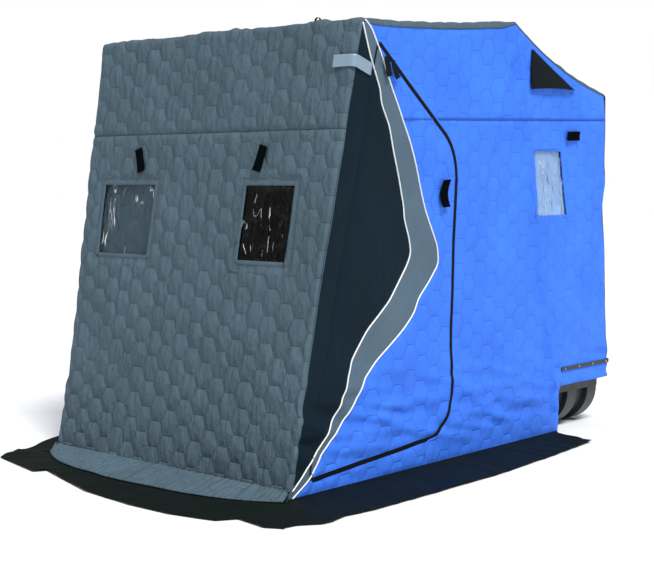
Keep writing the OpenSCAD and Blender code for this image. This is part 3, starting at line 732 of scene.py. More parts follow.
def strip_cloth(name, node, run, columns, s, quilt, fade, still, keep=None):
    """A panel of the front, roof or rear: quilted, and drawn down over a width at its two ends and where
    still is low."""
    puff = lambda x, r, flat: ((quilt(x, r) + SEAM_DIP) * step(np.minimum(r - run[0], run[-1] - r), 0.0, fade)
        * flat * still(x, r) - SEAM_DIP)
    outer, inward, plan = strip_points(run, columns, s, puff)
    sheet(name, outer, outer + inward * CLOTH, plan, ("grey_quilted_oxford", "charcoal_lining"),
        [node], s, keep)


# Cloths of the sides and doors: finish, record slot and share of the quilt's height.
SIDE_CLOTHS = {"black": ("black_quilted_oxford", "black_quilt", 0.10),
    "grey": ("pale_grey_oxford", "pale_grey_quilt", 0.0), "blue": ("blue_quilted_oxford", "blue_quilt", 0.42)}


def side_patch(name, side, near, far, s, cloth, rests_on, nodes=(), body="shell", keep=None, across=None,
        flat=None):
    """A patch of a side wall between two lines of (y, z) points: straight rungs joined across the wall's form,
    with quilted puffs that die away at the patch's seams."""
    look, slot, rises = SIDE_CLOTHS[cloth]
    width = np.linalg.norm(far - near, axis=1)[:, None]
    t = np.linspace(0, 1, len(spread(0, width.max(), s.side_step))) if across is None else across
    t = np.broadcast_to(t, (len(near), np.shape(t)[-1]))[..., None]
    plan = near[:, None] * (1 - t) + far[:, None] * t
    along = run_of(plan.mean(axis=1))[:, None]
    rim = np.minimum(np.minimum(t[..., 0], 1 - t[..., 0]) * width, np.minimum(along, along[-1] - along))
    fade = step(rim, 0.001, 0.030)
    y, z = plan[..., 0], plan[..., 1]
    rise = rises * puffed(y, z, s) + 0.0015 * noise(y, z, 0.11, 8) + 0.0008 * noise(y, z, 0.035, 9)
    held = 1 - step(y, 2.0 + BASE[0], 2.06 + BASE[0]) * (1 - step(np.abs(z - RIM_Z), 0.012, 0.06))
    x = half_at(z) + (side_out(y, z, s) + fade * rise) * held - 0.0012 * (1 - fade)
    sheet(name, stacked(side * x, y, z), stacked(side * (x - CLOTH), y, z), plan, (look, "charcoal_lining"),
        nodes, s, keep, body, flat)


def on_side(y, z, lift, side, settings):
    """Points on a side wall's face, lifted off it."""
    return stacked(side * (half_at(z) + side_out(y, z, settings) + lift), y, z)


def on_front(x, run, lift, settings):
    """Points on the front wall's face, lifted off it."""
    y, z = outline_at(run)
    ny, nz = outline_out(run)
    rise = lift - strip_sag(run, settings)
    return stacked(x, y + ny * rise, z + nz * rise)


def front_run(z):
    """Distance up the leaning front wall of a height."""
    return np.asarray(z) * FRONT_SLANT


FRONT_WINDOW_RUN = tuple(float(front_run(z)) for z in FRONT_WINDOW_Z)


def beside_windows(x, run):
    """0 on the flat margin round a front window, where the quilt is sewn down, and 1 away from it."""
    low, high = FRONT_WINDOW_RUN
    away = 1.0
    for side in SIDES:
        x0, x1 = FRONT_WINDOW_X[side]
        gap = np.maximum(np.maximum(x0 - side * x, side * x - x1), np.maximum(low - run, run - high))
        away = away * step(gap, 0.026, 0.046)
    return 0.15 + 0.85 * away


def where(curve, edge, low, high):
    """Heights between low and high at which one line lies behind another, as a first and last height."""
    z = np.linspace(low, high, 4000)
    inside = np.nonzero(curve(z) > edge(z) + 0.0015)[0]
    return z[inside[0]], z[inside[-1]]


def rows_between(left, right, low, high, size):
    """Two lines of (y, z) with the same heights, wherever the right one lies behind the left one."""
    z = spread(*where(right, left, low, high), size)
    return stacked(left(z), z), stacked(right(z), z)


def laid(name, points, out, profile, look, s, body="shell", nodes=(), closed=False):
    """A cord, tape or binding along a path on a wall, whose outward direction is given."""
    along = np.roll(points, -1, axis=0) - np.roll(points, 1, axis=0) if closed else np.gradient(points, axis=0)
    along /= np.linalg.norm(along, axis=1)[:, None]
    out = np.broadcast_to(out, points.shape)
    across = np.cross(along, out)
    across /= np.linalg.norm(across, axis=1)[:, None]
    return fit(sweep(name, points, across, out, profile, make_finish(look, s), closed), body, nodes)


def round_rect(a0, a1, b0, b1, r, per_side):
    """A rectangle with round corners as a closed path of (a, b) points."""
    out = []
    for (ca, cb), turn in zip(((a1 - r, b0 + r), (a1 - r, b1 - r), (a0 + r, b1 - r), (a0 + r, b0 + r)),
            (-90, 0, 90, 180)):
        t = np.radians(turn + np.linspace(0, 90, 6))
        out.append(stacked(ca + r * np.cos(t), cb + r * np.sin(t)))
    return even_path(np.concatenate(out + [out[0][:1]]), (a1 - a0 + b1 - b0) / (2 * per_side))[:-1]


def crinkled(u, v, seed):
    """Creases of a clear film that was folded for packing: sharp ridges along noise's zero lines."""
    a = 1 - np.abs(noise(u, v * 0.45, 0.055, seed))
    b = 1 - np.abs(noise(u + 0.3 * v, v * 0.5, 0.024, seed + 1))
    return 0.0030 * a ** 3 + 0.0012 * b ** 3 + 0.003 * noise(u, v, 0.13, seed + 2)


def tab(name, place, width, height, turn, look, body, s, nodes=(), lift=0.0125, curl=0.0015, bend=0.0):
    """A tab of tape laid on a wall: a flat rectangle turned by degrees, with its corners a little lifted
    and, where asked, a bend across its middle. place(a, b, lift) gives the wall's points."""
    a, b = np.broadcast_arrays(spread(-width / 2, width / 2, 0.006)[None],
        spread(-height / 2, height / 2, 0.006)[:, None])
    shift = bend * (1 - np.abs(b) / (height / 2))
    c, d = math.cos(math.radians(turn)), math.sin(math.radians(turn))
    p, q = (a + shift) * c - b * d, (a + shift) * d + b * c
    corner = (np.abs(a) / (width / 2)) ** 4 * (np.abs(b) / (height / 2)) ** 4
    wave = lift + curl * (1 + noise(a, b, 0.03, 17)) + 0.004 * corner
    fit(shell(name, place(p, q, wave + 0.0022), place(p, q, wave), stacked(a, b), [make_finish(look, s)]),
        body, nodes)


class HutStep:
    """What every building step of the hut shares: it builds from the scene's settings"""
    bl_options = {"REGISTER", "UNDO"}

    def execute(self, context):
        self.build(context.scene.ice_hut)
        return {"FINISHED"}


class HUT_OT_front(HutStep, bpy.types.Operator):
    """Front wall: two quilted panels with a seam between them and two window openings"""
    bl_idname = "hut.front"
    bl_label = "Front wall"

    def build(self, s):
        size = s.front_step
        flat_half = float(half_at(1.12)) - EDGE_R - 0.012
        marks = {side: [v / flat_half for v in FRONT_WINDOW_X[side]] for side in SIDES}
        columns = strip_columns(size, [side * v for side in SIDES for v in marks[side]])
        low, high = FRONT_WINDOW_RUN
        middle = (columns[0][1:] + columns[0][:-1]) / 2
        open_at = np.any([(side * middle > marks[side][0]) & (side * middle < marks[side][1])
            for side in SIDES], axis=0)
        for name, node, run in (
                ("front_wall_lower", "front_panel_lower", joined(spread(0.004, low, size),
                    spread(low, high, size), spread(high, RUN_SEAM - 0.001, size))),
                ("front_wall_upper", "front_panel_upper", spread(RUN_SEAM + 0.001, RUN_TOP + 0.03, size))):
            mid_run = (run[1:] + run[:-1]) / 2
            keep = ~(((mid_run > low) & (mid_run < high))[:, None] & open_at[None])
            strip_cloth(name, node, run, columns, s, lambda x, r: puffed(x, r, s), 0.022, beside_windows,
                keep)


class HUT_OT_roof(HutStep, bpy.types.Operator):
    """Roof, rear slope and rear wall: quilted panels stretched over the hoops"""
    bl_idname = "hut.roof"
    bl_label = "Roof and rear"

    def build(self, s):
        columns = strip_columns(s.rear_step)
        clamp = lambda x, r: step(np.abs(outline_at(r)[1] - RIM_Z), 0.012, 0.05)
        for name, start, end, node, on in (
                ("roof_cloth", RUN_TOP + 0.031, RUN_RIDGE, "roof_panel", ["front_hoop", "roof_hoop"]),
                ("rear_slope_cloth", RUN_RIDGE, RUN_EAVE, "rear_slope_panel", ["roof_hoop", "rear_hoop"]),
                ("rear_wall_cloth", RUN_EAVE, OUTLINE_RUN[-1] - 0.002, "rear_wall_panel",
                    ["rear_hoop", "sled_tub"])):
            run = spread(start + 0.001, end - 0.001, s.rear_step)
            strip_cloth(name, node, run, columns, s, lambda x, r: 0.6 * puffed(x, r, s, 11), 0.025, clamp)


def front_to_back(*lines):
    """The points of several (y, z) lines as one line, in order of y."""
    points = np.concatenate(lines)
    return points[np.argsort(points[:, 0])]


# Where the corner strip ends before the door's fold line, and where the door begins behind it.
strip_edge = lambda z: fold_y(z) - 0.0082
door_edge = lambda z: fold_y(z) + 0.0044


class HUT_OT_sides(HutStep, bpy.types.Operator):
    """Side walls: corner strips, sills, main panels, upper bands and the rear panels with their windows"""
    bl_idname = "hut.sides"
    bl_label = "Side walls"

    def build(self, s):
        size = s.side_step
        roof = roof_edge(s)
        roof_z = lambda y: np.interp(y, roof[:, 0], roof[:, 1])
        top_run = roof[np.argmin(np.abs(roof[:, 0] - (SLOPE_REAR[0] - 0.030)) + 9 * (roof[:, 1] < 1.7))]
        rear = roof[roof[:, 1] < top_run[1]]
        rear_y = lambda z: np.interp(z, rear[::-1, 1], rear[::-1, 0])
        roof_limit = roof_z(FRONT_TOP[0] + 0.03)
        black_right = lambda z: np.minimum(strip_edge(z), black_y(z))
        grey_right = lambda z: np.minimum(strip_edge(z), blue_y(z))
        grey_left = lambda z: np.maximum(front_edge_y(z), black_y(z))
        belt = door_belt(BELT_GAP)
        before_strip = BLUE_LINE[:, 0] < strip_edge(BLUE_LINE[:, 1])
        arc = belt[(belt[:, 0] > DOOR_LOW_CENTRE[0] - 1e-6) | (belt[:, 1] > 1.0)]
        arc = arc[arc[:, 1].argsort()]
        door_side = lambda z: np.where(z < arc[0, 1], DOOR_LOW_CENTRE[0], np.interp(z, arc[:, 1], arc[:, 0]))
        heights = np.linspace(0.5, 1.8, 3000)
        meets_seam = lambda line: heights[np.argmin(np.abs(side_seam_z(line(heights)) - heights))]
        left_top = meets_seam(lambda z: belt_y(z, BELT_GAP))
        right_top, rear_top = meets_seam(crease_y), meets_seam(rear_y)
        hem_z = REAR_HEM[1]
        crease = lambda z: np.interp(z, [0, hem_z, RIM_Z, 3], [SLED_MID_Y, SLED_MID_Y, crease_y(RIM_Z),
            crease_y(3.0)])
        for side, hand in SIDES.items():
            # Black strip, from the front edge to the fold or the black patch's own edge.
            side_patch(f"{hand}_corner_black", side,
                *rows_between(front_edge_y, black_right, 0.02, roof_limit, size), s, "black", ["front_hoop"],
                [f"{hand}_corner_strip"])
            # Grey ends of the pale strip, above and below the door.
            for word, low, high in (("low", 0.0, 0.5), ("high", 1.2, roof_limit)):
                side_patch(f"{hand}_pale_strip_{word}", side,
                    *rows_between(grey_left, grey_right, low, high, size), s, "grey", ["front_hoop"])
            # Sill under the door, from the front edge to the main panel.
            rim = front_to_back(BLUE_LINE[before_strip & (BLUE_LINE[:, 1] < 0.5)], belt[:2])
            y = spread(front_edge_y(0.0) + 0.012, DOOR_LOW_CENTRE[0], size)
            far = stacked(y, np.maximum(np.interp(y, rim[:, 0], rim[:, 1]), 0.006))
            side_patch(f"{hand}_sill", side, stacked(y, 0.004), far, s, "blue", ["ground_hoop"],
                [f"{hand}_side_sill"])
            # Main panel, from the door to the fold over the roof hoop.
            share = np.unique(np.concatenate([spread(0, 1, size / 1.6),
                np.linspace(arc[0, 1], arc[0, 1] + 0.02, 5) / left_top]))
            share = np.maximum(share, 0.003)
            side_patch(f"{hand}_main_panel", side, stacked(door_side(share * left_top), share * left_top),
                stacked(crease(share * right_top), share * right_top), s, "blue", ["roof_hoop", "ground_hoop"],
                [f"{hand}_side_panel"])
            # Rear panel down over the sled's rim, with its window opening.
            (near_low, far_low, low_z), (near_high, far_high, high_z) = SIDE_WINDOW
            span = right_top - hem_z + 0.21 * (rear_top - right_top)
            marks = [(low_z - hem_z) / span, (high_z - hem_z) / span]
            share = joined(*(spread(*pair, size / 1.35) for pair in ((0, marks[0]), marks, (marks[1], 1))))
            zl, zr = hem_z + share * (right_top - hem_z), hem_z + share * (rear_top - hem_z)
            near, far = stacked(crease(zl), zl), stacked(rear_y(zr), zr)
            width = (far - near)[:, :1]
            zone = lambda a, b: np.interp(zl, [low_z, high_z], [a, b])[:, None] / width
            a, b = zone(near_low, near_high), zone(far_low, far_high)
            cuts = [np.linspace(0, 1, n) for n in (6, int(0.28 / size), int(0.47 / size))]
            across = np.concatenate([a * cuts[0][None], a + (b - a) * cuts[1][None, 1:],
                b + (1 - b) * cuts[2][None, 1:]], axis=1)
            mid = (share[1:] + share[:-1]) / 2
            column = np.arange(across.shape[1] - 1)
            first, last = len(cuts[0]) - 1, len(cuts[0]) + len(cuts[1]) - 2
            hole = ((mid > marks[0]) & (mid < marks[1]))[:, None] & ((column >= first) & (column < last))[None]
            side_patch(f"{hand}_rear_cloth", side, near, far, s, "blue", ["rear_hoop", "sled_tub"],
                [f"{hand}_rear_panel", "sled_end_flaps"], keep=~hole, across=across)
            # Upper band, from the strip's edge over the door and the seam to the roof.
            seam = np.array([(belt_y(left_top, BELT_GAP), left_top), (rear_y(rear_top), rear_top)])
            rim = front_to_back(BLUE_LINE[before_strip & (BLUE_LINE[:, 1] > 1.5)][::-1],
                belt[(belt[:, 1] > left_top) & (belt[:, 0] > FOLD_HIGH[0])][::-1], seam)
            start = np.nonzero(roof_z(BLUE_LINE[:, 0]) < BLUE_LINE[:, 1] + 0.004)[0]
            begin = BLUE_LINE[start[0], 0] + 0.004
            share = spread(0, 1, size / 2.0)
            yl, yu = begin + share * (seam[1, 0] - begin), begin + share * (top_run[0] - begin)
            near, far = stacked(yl, np.interp(yl, rim[:, 0], rim[:, 1])), stacked(yu, roof_z(yu))
            good = far[:, 1] > near[:, 1] + 0.002
            side_patch(f"{hand}_upper_band", side, near[good], far[good], s, "blue",
                ["front_hoop", "roof_hoop", "rear_hoop"], [f"{hand}_side_band", f"{hand}_rear_band"])


class HUT_OT_doors(HutStep, bpy.types.Operator):
    """Doors: a black, a pale grey and a blue patch on each, which fold forward together"""
    bl_idname = "hut.doors"
    bl_label = "Doors"

    def build(self, s):
        grey_left = lambda z: np.maximum(door_edge(z), black_y(z))
        z = np.linspace(FOLD_LOW[1] + 0.006, FOLD_HIGH[1] - 0.006, 1500)
        share = spread(0.006, 0.994, s.side_step / 2.5)
        pick = lambda line: np.stack([np.interp(share, np.linspace(0, 1, len(line)), line[:, i])
            for i in (0, 1)], axis=1)
        blue_near = pick(even_path(stacked(np.maximum(door_edge(z), blue_y(z)), z), 0.002))
        blue_far = pick(even_path(door_belt(0.0), 0.002))
        for side, hand in SIDES.items():
            for piece, cloth, node, flat, (near, far) in (
                    ("black_cloth", "black", "black", None,
                        rows_between(door_edge, black_y, 0.08, 1.9, s.side_step)),
                    ("pale_strip", "grey", "grey", (0.22, 2.2),
                        rows_between(grey_left, blue_y, *DOOR_SPAN, s.side_step)),
                    ("blue_cloth", "blue", "blue", None, (blue_near, blue_far))):
                side_patch(f"{hand}_door_{piece}", side, near, far, s, cloth, ["door_welts"],
                    [f"{hand}_door_{node}"], f"{hand}_door", flat=flat)


class HUT_OT_windows(HutStep, bpy.types.Operator):
    """Windows: clear crinkled film, stitched bindings and quilted blinds"""
    bl_idname = "hut.windows"
    bl_label = "Windows"

    def build(self, s):
        r0, r1 = FRONT_WINDOW_RUN
        outward = np.array([0, *(float(v) for v in outline_out((r0 + r1) / 2))])
        for side, hand in SIDES.items():
            x0, x1 = FRONT_WINDOW_X[side]
            u = spread(x0 - 0.008, x1 + 0.012, 0.006)[None]
            v = spread(r0 - 0.008, r1 + 0.008, 0.006)[:, None]
            lift = -0.0062 + crinkled(u + side, v, 40) * step(np.minimum(np.minimum(u - x0, x1 - u),
                np.minimum(v - r0, r1 - v)) + 0.008, 0, 0.03)
            outer = on_front(side * u, v, lift, s)
            sheet(f"{hand}_front_film", outer, outer - outward * FILM, stacked(side * u, v), ["clear_pvc"],
                ["window_films"], s)
            # The binding, and a line of stitches where the blind's pocket is sewn on inside.
            for word, path, lift, profile in (
                    ("binding", round_rect(x0 - 0.006, x1 + 0.008, r0 - 0.006, r1 + 0.006, 0.010, 26), 0.0,
                        flat_profile(0.020, 0.0030, -0.002)),
                    ("seam", round_rect(x0 - 0.030, x1 + 0.032, r0 - 0.044, r1 + 0.032, 0.012, 40), -0.0006,
                        flat_profile(0.008, 0.0026, -0.001))):
                laid(f"{hand}_front_window_{word}", on_front(side * path[:, 0], path[:, 1], lift, s), outward,
                    profile, "grey_binding_oxford", s, closed=True)
        # The left front window's blind is closed; the right one is rolled away, so its opening is dark.
        x0, x1 = FRONT_WINDOW_X[LEFT]
        u = spread(x0 - 0.02, x1 + 0.02, 0.010)[None]
        v = spread(r0 - 0.02, r1 + 0.02, 0.010)[:, None]
        puff = 0.7 * puffed(u, v, s, 31)
        sheet("left_front_blind", on_front(-u, v, -0.019 + puff, s), on_front(-u, v, -0.023 + puff, s),
            stacked(-u, v), ["grey_quilted_oxford"], ["window_blinds"],
            s)
        (near_low, far_low, low_z), (near_high, far_high, high_z) = SIDE_WINDOW
        v = spread(low_z - 0.012, high_z + 0.012, 0.007)[:, None]
        t = np.linspace(-0.03, 1.03, 42)[None]
        near = np.interp(v, [low_z, high_z], [near_low, near_high])
        far = np.interp(v, [low_z, high_z], [far_low, far_high])
        rim = np.minimum(np.minimum(t, 1 - t) * 0.27, np.minimum(v - low_z, high_z - v)) + 0.008
        corners = np.array([(near_low, low_z), (far_low, low_z), (far_high, high_z), (near_high, high_z),
            (near_low, low_z)])
        corners[:, 0] += crease_y(corners[:, 1])
        path = even_path(corners, 0.012)[:-1]
        for side, hand in SIDES.items():
            for word, share, look, slot, node, held in (
                    ("film", t, "clear_pvc", "clear_film", "window_films", "stretched"),
                    ("blind", 0.5 + 1.15 * (t - 0.5), "blue_lining_flap", "blue_quilt", "window_blinds", "hung")):
                y = crease_y(v) + near + (far - near) * share
                z = np.broadcast_to(v, y.shape)
                if word == "film":
                    out = -0.0060 + 1.5 * crinkled(y, z, 60 + side) * step(rim, 0, 0.03)
                    into = out - FILM
                else:
                    puff = 0.003 * noise(y, z, 0.12, 70) + 0.0012 * noise(y, z, 0.04, 71)
                    out, into = -0.012 + puff, -0.015 + puff
                sheet(f"{hand}_side_{word}", on_side(y, z, out, side, s), on_side(y, z, into, side, s),
                    stacked(y, z), [look], [node], s)
            laid(f"{hand}_side_window_binding", on_side(path[:, 0], path[:, 1], 0.0, side, s), (side, 0, 0),
                flat_profile(0.014, 0.0026, -0.002), "blue_quilted_oxford", s, closed=True)


class HUT_OT_trim(HutStep, bpy.types.Operator):
    """Trim: white piping, zips with their tags, welts, seams, hook tabs, vent hoods, reflector and roof loop"""
    bl_idname = "hut.trim"
    bl_label = "Trim"

    def build(self, s):
        for side, hand in SIDES.items():
            for part in (self.piping, self.zip, self.tags, self.vent, self.seams):
                part(s, side, hand)
        self.reflector(s, RIGHT, "right")
        self.front_tabs(s)
        self.loop(s)

    def cord(self, name, line, lift, profile, look, side, s, body, slot, nodes=()):
        """A cord or tape along a line of (y, z) points on a side wall."""
        path = even_path(line, 0.008)
        laid(name, on_side(path[:, 0], path[:, 1], lift, side, s), (side, 0, 0), profile, look, s, body,
            nodes)

    def piping(self, s, side, hand):
        """White cords along both edges of the pale strip, parted where the door folds."""
        roof = roof_edge(s)
        for word, line, curve in (("front", BLACK_LINE, black_y), ("rear", BLUE_LINE, blue_y)):
            line = even_path(line, 0.001)
            y, z = line[:, 0], line[:, 1]
            lo, hi = where(curve, door_edge, *DOOR_SPAN)
            inside = (y > front_edge_y(z) - 0.004) & (z < np.interp(y, roof[:, 0], roof[:, 1]) + 0.006)
            for part, body, chosen in (("low", "shell", inside & (z < lo - 0.002) & (z > 0.006)),
                    ("door", f"{hand}_door", (z > lo) & (z < hi)), ("high", "shell", inside & (z > hi + 0.002))):
                self.cord(f"{hand}_piping_{word}_{part}", line[chosen], 0.0008, ring_profile(0.0034),
                    "white_piping", side, s, body, "pale_grey_quilt")

    def zip(self, s, side, hand):
        """Two black tapes beside the door's edge and a ridged coil between them, with the welt it folds on."""
        tape = flat_profile(0.0075, 0.0016, -0.0008)
        for part, body, grow, lift, profile in (("door_tape", f"{hand}_door", -0.0030, 0.0, tape),
                ("wall_tape", "shell", 0.0090, 0.0, tape),
                ("coil", "shell", 0.0030, -0.0006, ring_profile(0.0030))):
            self.cord(f"{hand}_zip_{part}", zip_line(grow), lift, profile, "zip_nylon", side, s, body,
                "black_cloth")
        self.cord(f"{hand}_fold_welt", np.array([FOLD_LOW, FOLD_HIGH]) + (-0.0019, 0), -0.0010,
            flat_profile(0.0118, 0.0012, -0.0020), "black_quilted_oxford", side, s, "shell", "black_cloth",
            ["door_welts"])

    def tags(self, s, side, hand):
        """Zip pull tags, the bent hook tab beside the zip and the hook tab over the side window."""
        wall = lambda cy, cz: lambda a, b, lift: on_side(BASE[0] + cy + a, cz + b, lift, side, s)
        door = f"{hand}_door"
        tab(f"{hand}_zip_tag_upper", wall(0.544, 1.786), 0.030, 0.088, 18, "black_oxford", door,
            s, lift=0.012, curl=0.002)
        tab(f"{hand}_zip_tag_lower", wall(0.588, 1.772), 0.028, 0.080, 30, "black_oxford", door,
            s, lift=0.016, curl=0.003)
        tab(f"{hand}_door_hook_tab", wall(0.985, 1.246), 0.052, 0.124, 4, "black_hook_tape", door,
            s, [f"{hand}_door_tabs"], bend=-0.020)
        tab(f"{hand}_side_hook_tab", wall(2.062, 1.528), 0.118, 0.046, 2, "black_hook_tape", "shell",
            s, ["hook_tabs"])

    def vent(self, s, side, hand):
        """Vent hood: a triangle of cloth over the wall, standing off it most in the middle of its lower edge
        and least at its three corners."""
        low_a, low_b, top = np.array(VENT_CORNERS) + (BASE[0], 0)
        u, v = spread(0, 1, 0.03)[None, :, None], spread(0, 0.97, 0.04)[:, None, None]
        lower = low_a + (low_b - low_a) * u + np.array([0, 0.006]) * (4 * u * (1 - u))
        plan = lower + (top - lower) * v
        lift = (0.008 + 0.015 * np.sqrt(np.clip(4 * u * (1 - u), 0, 1)) * (1 - v) ** 0.8)[..., 0]
        outer, inner = (on_side(plan[..., 0], plan[..., 1], lift + rise, side, s) for rise in (0.002, 0))
        sheet(f"{hand}_vent_hood", outer, inner, plan, ["black_oxford"], ["vent_hoods"],
            s)

    def reflector(self, s, side, hand):
        """A reflective tape round the front's upper corner: flat on the front, round the edge, flat on the
        side."""
        height = spread(-0.026, 0.026, 0.0065)[:, None]
        z = REFLECTOR_Z
        run = front_run(z) + height
        x = spread(0.717, half_at(z) - EDGE_R + side_out(front_edge_y(z), z, s), 0.008)[None]
        front = on_front(side * x, run, 0.0125, s)
        turn = np.radians(np.linspace(12, 84, 7))[None, :, None]
        r = EDGE_R + 0.0105
        base = on_front(side * x[:, -1:], run, 0.0020 - EDGE_R, s)
        ny, nz = outline_out(run)
        lean = stacked(0.0, ny, nz)
        bent = base + r * (np.sin(turn) * np.array([side, 0, 0]) + np.cos(turn) * lean)
        y = front_edge_y(z) + spread(0.004, 0.095, 0.008)[None]
        on = on_side(y + 0.188 * height, z - 0.004 + height - 0.30 * (y - y[0, 0]), 0.0095, side, s)
        outer = np.concatenate([front, bent, on], axis=1)
        inward = np.concatenate([np.broadcast_to(-lean, front.shape), -(bent - base) / r,
            np.broadcast_to(np.array([-side, 0.0, 0.0]), on.shape)], axis=1)
        fit(shell(f"{hand}_corner_reflector", outer, outer + inward * 0.0014,
            stacked(run_of(outer[4])[None], height), [make_finish("glass_bead_tape", s)]), "shell",
            ["corner_reflectors"])

    def seams(self, s, side, hand):
        """The sunk stitches along the side's horizontal seam, drawn as a cord darkened with painted shade."""
        z = SIDE_SEAM_Z
        for part, body, near, far, lift in (
                ("side", "shell", belt_y(z, 0.018), SLOPE_REAR[0] - 0.012, 0.0004),
                ("door", f"{hand}_door", blue_y(z) + 0.008, belt_y(z, -0.010), 0.0018)):
            y = np.linspace(near, far, 60)
            self.cord(f"{hand}_{part}_seam", stacked(y, side_seam_z(y)), lift,
                flat_profile(0.0075, 0.0030, -0.001), "blue_thread", side, s, body, "blue_quilt")

    def front_tabs(self, s):
        """Two hook tabs over the front windows."""
        for name, x, turn in (("left", -0.421, 20), ("right", 0.366, -14)):
            place = lambda a, b, lift: on_front(x + a, front_run(FRONT_TAB_Z) + b, lift, s)
            tab(f"{name}_front_hook_tab", place, 0.048, 0.116, turn, "black_hook_tape", "shell", s,
                ["hook_tabs"])

    def loop(self, s):
        """A folded loop of webbing on the roof's front edge: a strap bent over an oval."""
        mid = sum(np.array(corner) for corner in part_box("roof_loop")) / 2
        t = np.radians(np.linspace(-38, 218, 26))
        points = mid + stacked(0.013 * np.cos(t), 0 * t, -0.001 + 0.009 * np.sin(t))
        out = points - mid
        out /= np.linalg.norm(out, axis=1)[:, None]
        across = np.broadcast_to(np.array([0.0, 1.0, 0.0]), points.shape)
        fit(sweep("roof_webbing_loop", points, across, out, flat_profile(0.012, 0.0020),
            make_finish("black_oxford", s)), "shell", ["roof_loop"])


def hem_reach(x):
    """How far the hem spreads forward over the skirt, by its place along the front."""
    reach = 0.187 * (1 - np.clip(np.abs(x / 0.79), 0, 1) ** 2.6) ** 0.8 + 0.010
    return reach * (1 + 0.035 * noise(x, 0 * x, 0.14, 80))


# Outer edges of the ground skirt's three parts, as (x, y from the front base), each with its own seed.
SKIRT_EDGES = {
    "front": (5, [(-0.930, -0.100), (-0.905, -0.165), (-0.855, -0.258), (-0.480, -0.345), (-0.452, -0.290),
        (-0.367, -0.318), (-0.011, -0.428), (0.305, -0.463), (0.551, -0.459), (0.763, -0.412), (0.815, -0.335),
        (0.975, -0.362), (1.050, -0.322)]),
    "right": (6, [(1.036, -0.330), (1.052, -0.255), (1.111, -0.175), (1.118, -0.127), (1.096, -0.027),
        (1.118, 0.122), (1.121, 0.442), (1.118, 0.993), (1.080, 1.500), (1.036, 1.930), (0.870, 1.965)]),
    "left": (7, [(-0.922, -0.112), (-0.940, -0.010), (-1.000, 0.105), (-1.085, 0.330), (-1.115, 0.700),
        (-1.118, 1.050), (-1.090, 1.500), (-1.040, 1.930), (-0.870, 1.965)]),
}


class HUT_OT_skirt(HutStep, bpy.types.Operator):
    """Ground skirt and gathered hem"""
    bl_idname = "hut.skirt"
    bl_label = "Ground skirt and hem"

    def build(self, s):
        self.hem(s)
        y0 = BASE[0]
        by_side = np.array([(HALF_BASE + 0.0015, -0.012), (HALF_BASE + 0.0015, SLED_MID_Y - y0 - 0.016)])
        inner = {"front": np.array([(-HALF_BASE - 0.001, -0.004), (HALF_BASE + 0.001, -0.004)]),
            "right": by_side, "left": by_side * (-1, 1)}
        for word, (seed, edge) in SKIRT_EDGES.items():
            rows = 150 if word == "front" else 190
            share = np.linspace(0, 1, rows)
            even = lambda line: np.stack([np.interp(share, run_of(line) / np.linalg.norm(
                np.diff(line, axis=0), axis=1).sum(), line[:, i]) for i in (0, 1)], axis=1)
            a, b = even(inner[word]), even(np.array(edge))
            t = np.linspace(0, 1, 38)[None, :, None]
            plan = a[:, None] * (1 - t) + b[:, None] * t
            x, y = plan[..., 0], plan[..., 1]
            reach = t[..., 0] * np.linalg.norm(b - a, axis=1)[:, None]
            frill = np.abs(noise(share[:, None] * 9.0 + 0 * reach, reach * 0.35, 0.42, seed)) ** 0.8
            wave = 0.5 + 0.5 * noise(x, y, 0.16, seed + 30)
            small = 0.5 + 0.5 * noise(x, y, 0.045, seed + 60)
            rise = s.skirt_wave * (1.3 * frill * step(reach, 0.03, 0.20) + 0.8 * wave + 0.35 * small)
            hidden = hem_reach(x) if word == "front" else 0.0 * x
            rise = rise * step(reach, hidden + 0.005, hidden + 0.055)
            z = 0.0016 + 0.012 * np.exp(-reach / 0.025) * (hidden == 0) + rise
            points = stacked(x, y + y0, z)
            sheet(f"{word}_skirt_cloth", points, points - (0, 0, 0.0014), plan, ["black_tarpaulin"],
                [f"{word}_skirt"], s)

    def hem(self, s):
        """The front wall's foot, gathered and spread forward over the skirt: its reach falls off towards the
        corners, and gathers fan out from the seam."""
        x = spread(-HALF_BASE + 0.004, HALF_BASE - 0.004, 0.0045)[None]
        t = spread(0, 1, 1 / 40)[:, None]
        reach = hem_reach(x)
        drift = x + 0.010 * t * noise(x, 0 * x, 0.20, 83)
        tight = 0.5 - 0.5 * np.cos(2 * math.pi * (drift / 0.037 + 1.3 * noise(x, 0 * x, 0.11, 81)))
        loose = 0.5 + 0.5 * noise(drift, t * 0.06, 0.045, 82)
        gather = (0.0125 * tight * (0.45 + 0.55 * np.exp(-t * 2.0)) + 0.0120 * loose) * (
            np.sin(math.pi * np.clip(t, 0, 1)) ** 0.45)
        z = 0.0085 + 0.036 * (1 - t) ** 1.5 + gather
        y = BASE[0] + z * FRONT_BACK / FRONT_TOP[1] * (1 - t) - 0.0015 - reach * t
        y = y - 0.012 * np.exp(-(t / 0.16) ** 2) * step(t, 0, 0.06)
        points = stacked(x, y, z)
        sheet("front_hem_cloth", points, points - (0, 0, 0.004), stacked(x, t * reach),
            ["grey_quilted_oxford"], ["front_hem"], s)
        # The seam that gathers it.
        path = stacked(np.linspace(-HALF_BASE + 0.012, HALF_BASE - 0.012, 160), BASE[0] + 0.006, 0.046)
        laid("hem_seam", path, (0, -0.983, 0.185), flat_profile(0.009, 0.0035, -0.002), "charcoal_lining",
            s)


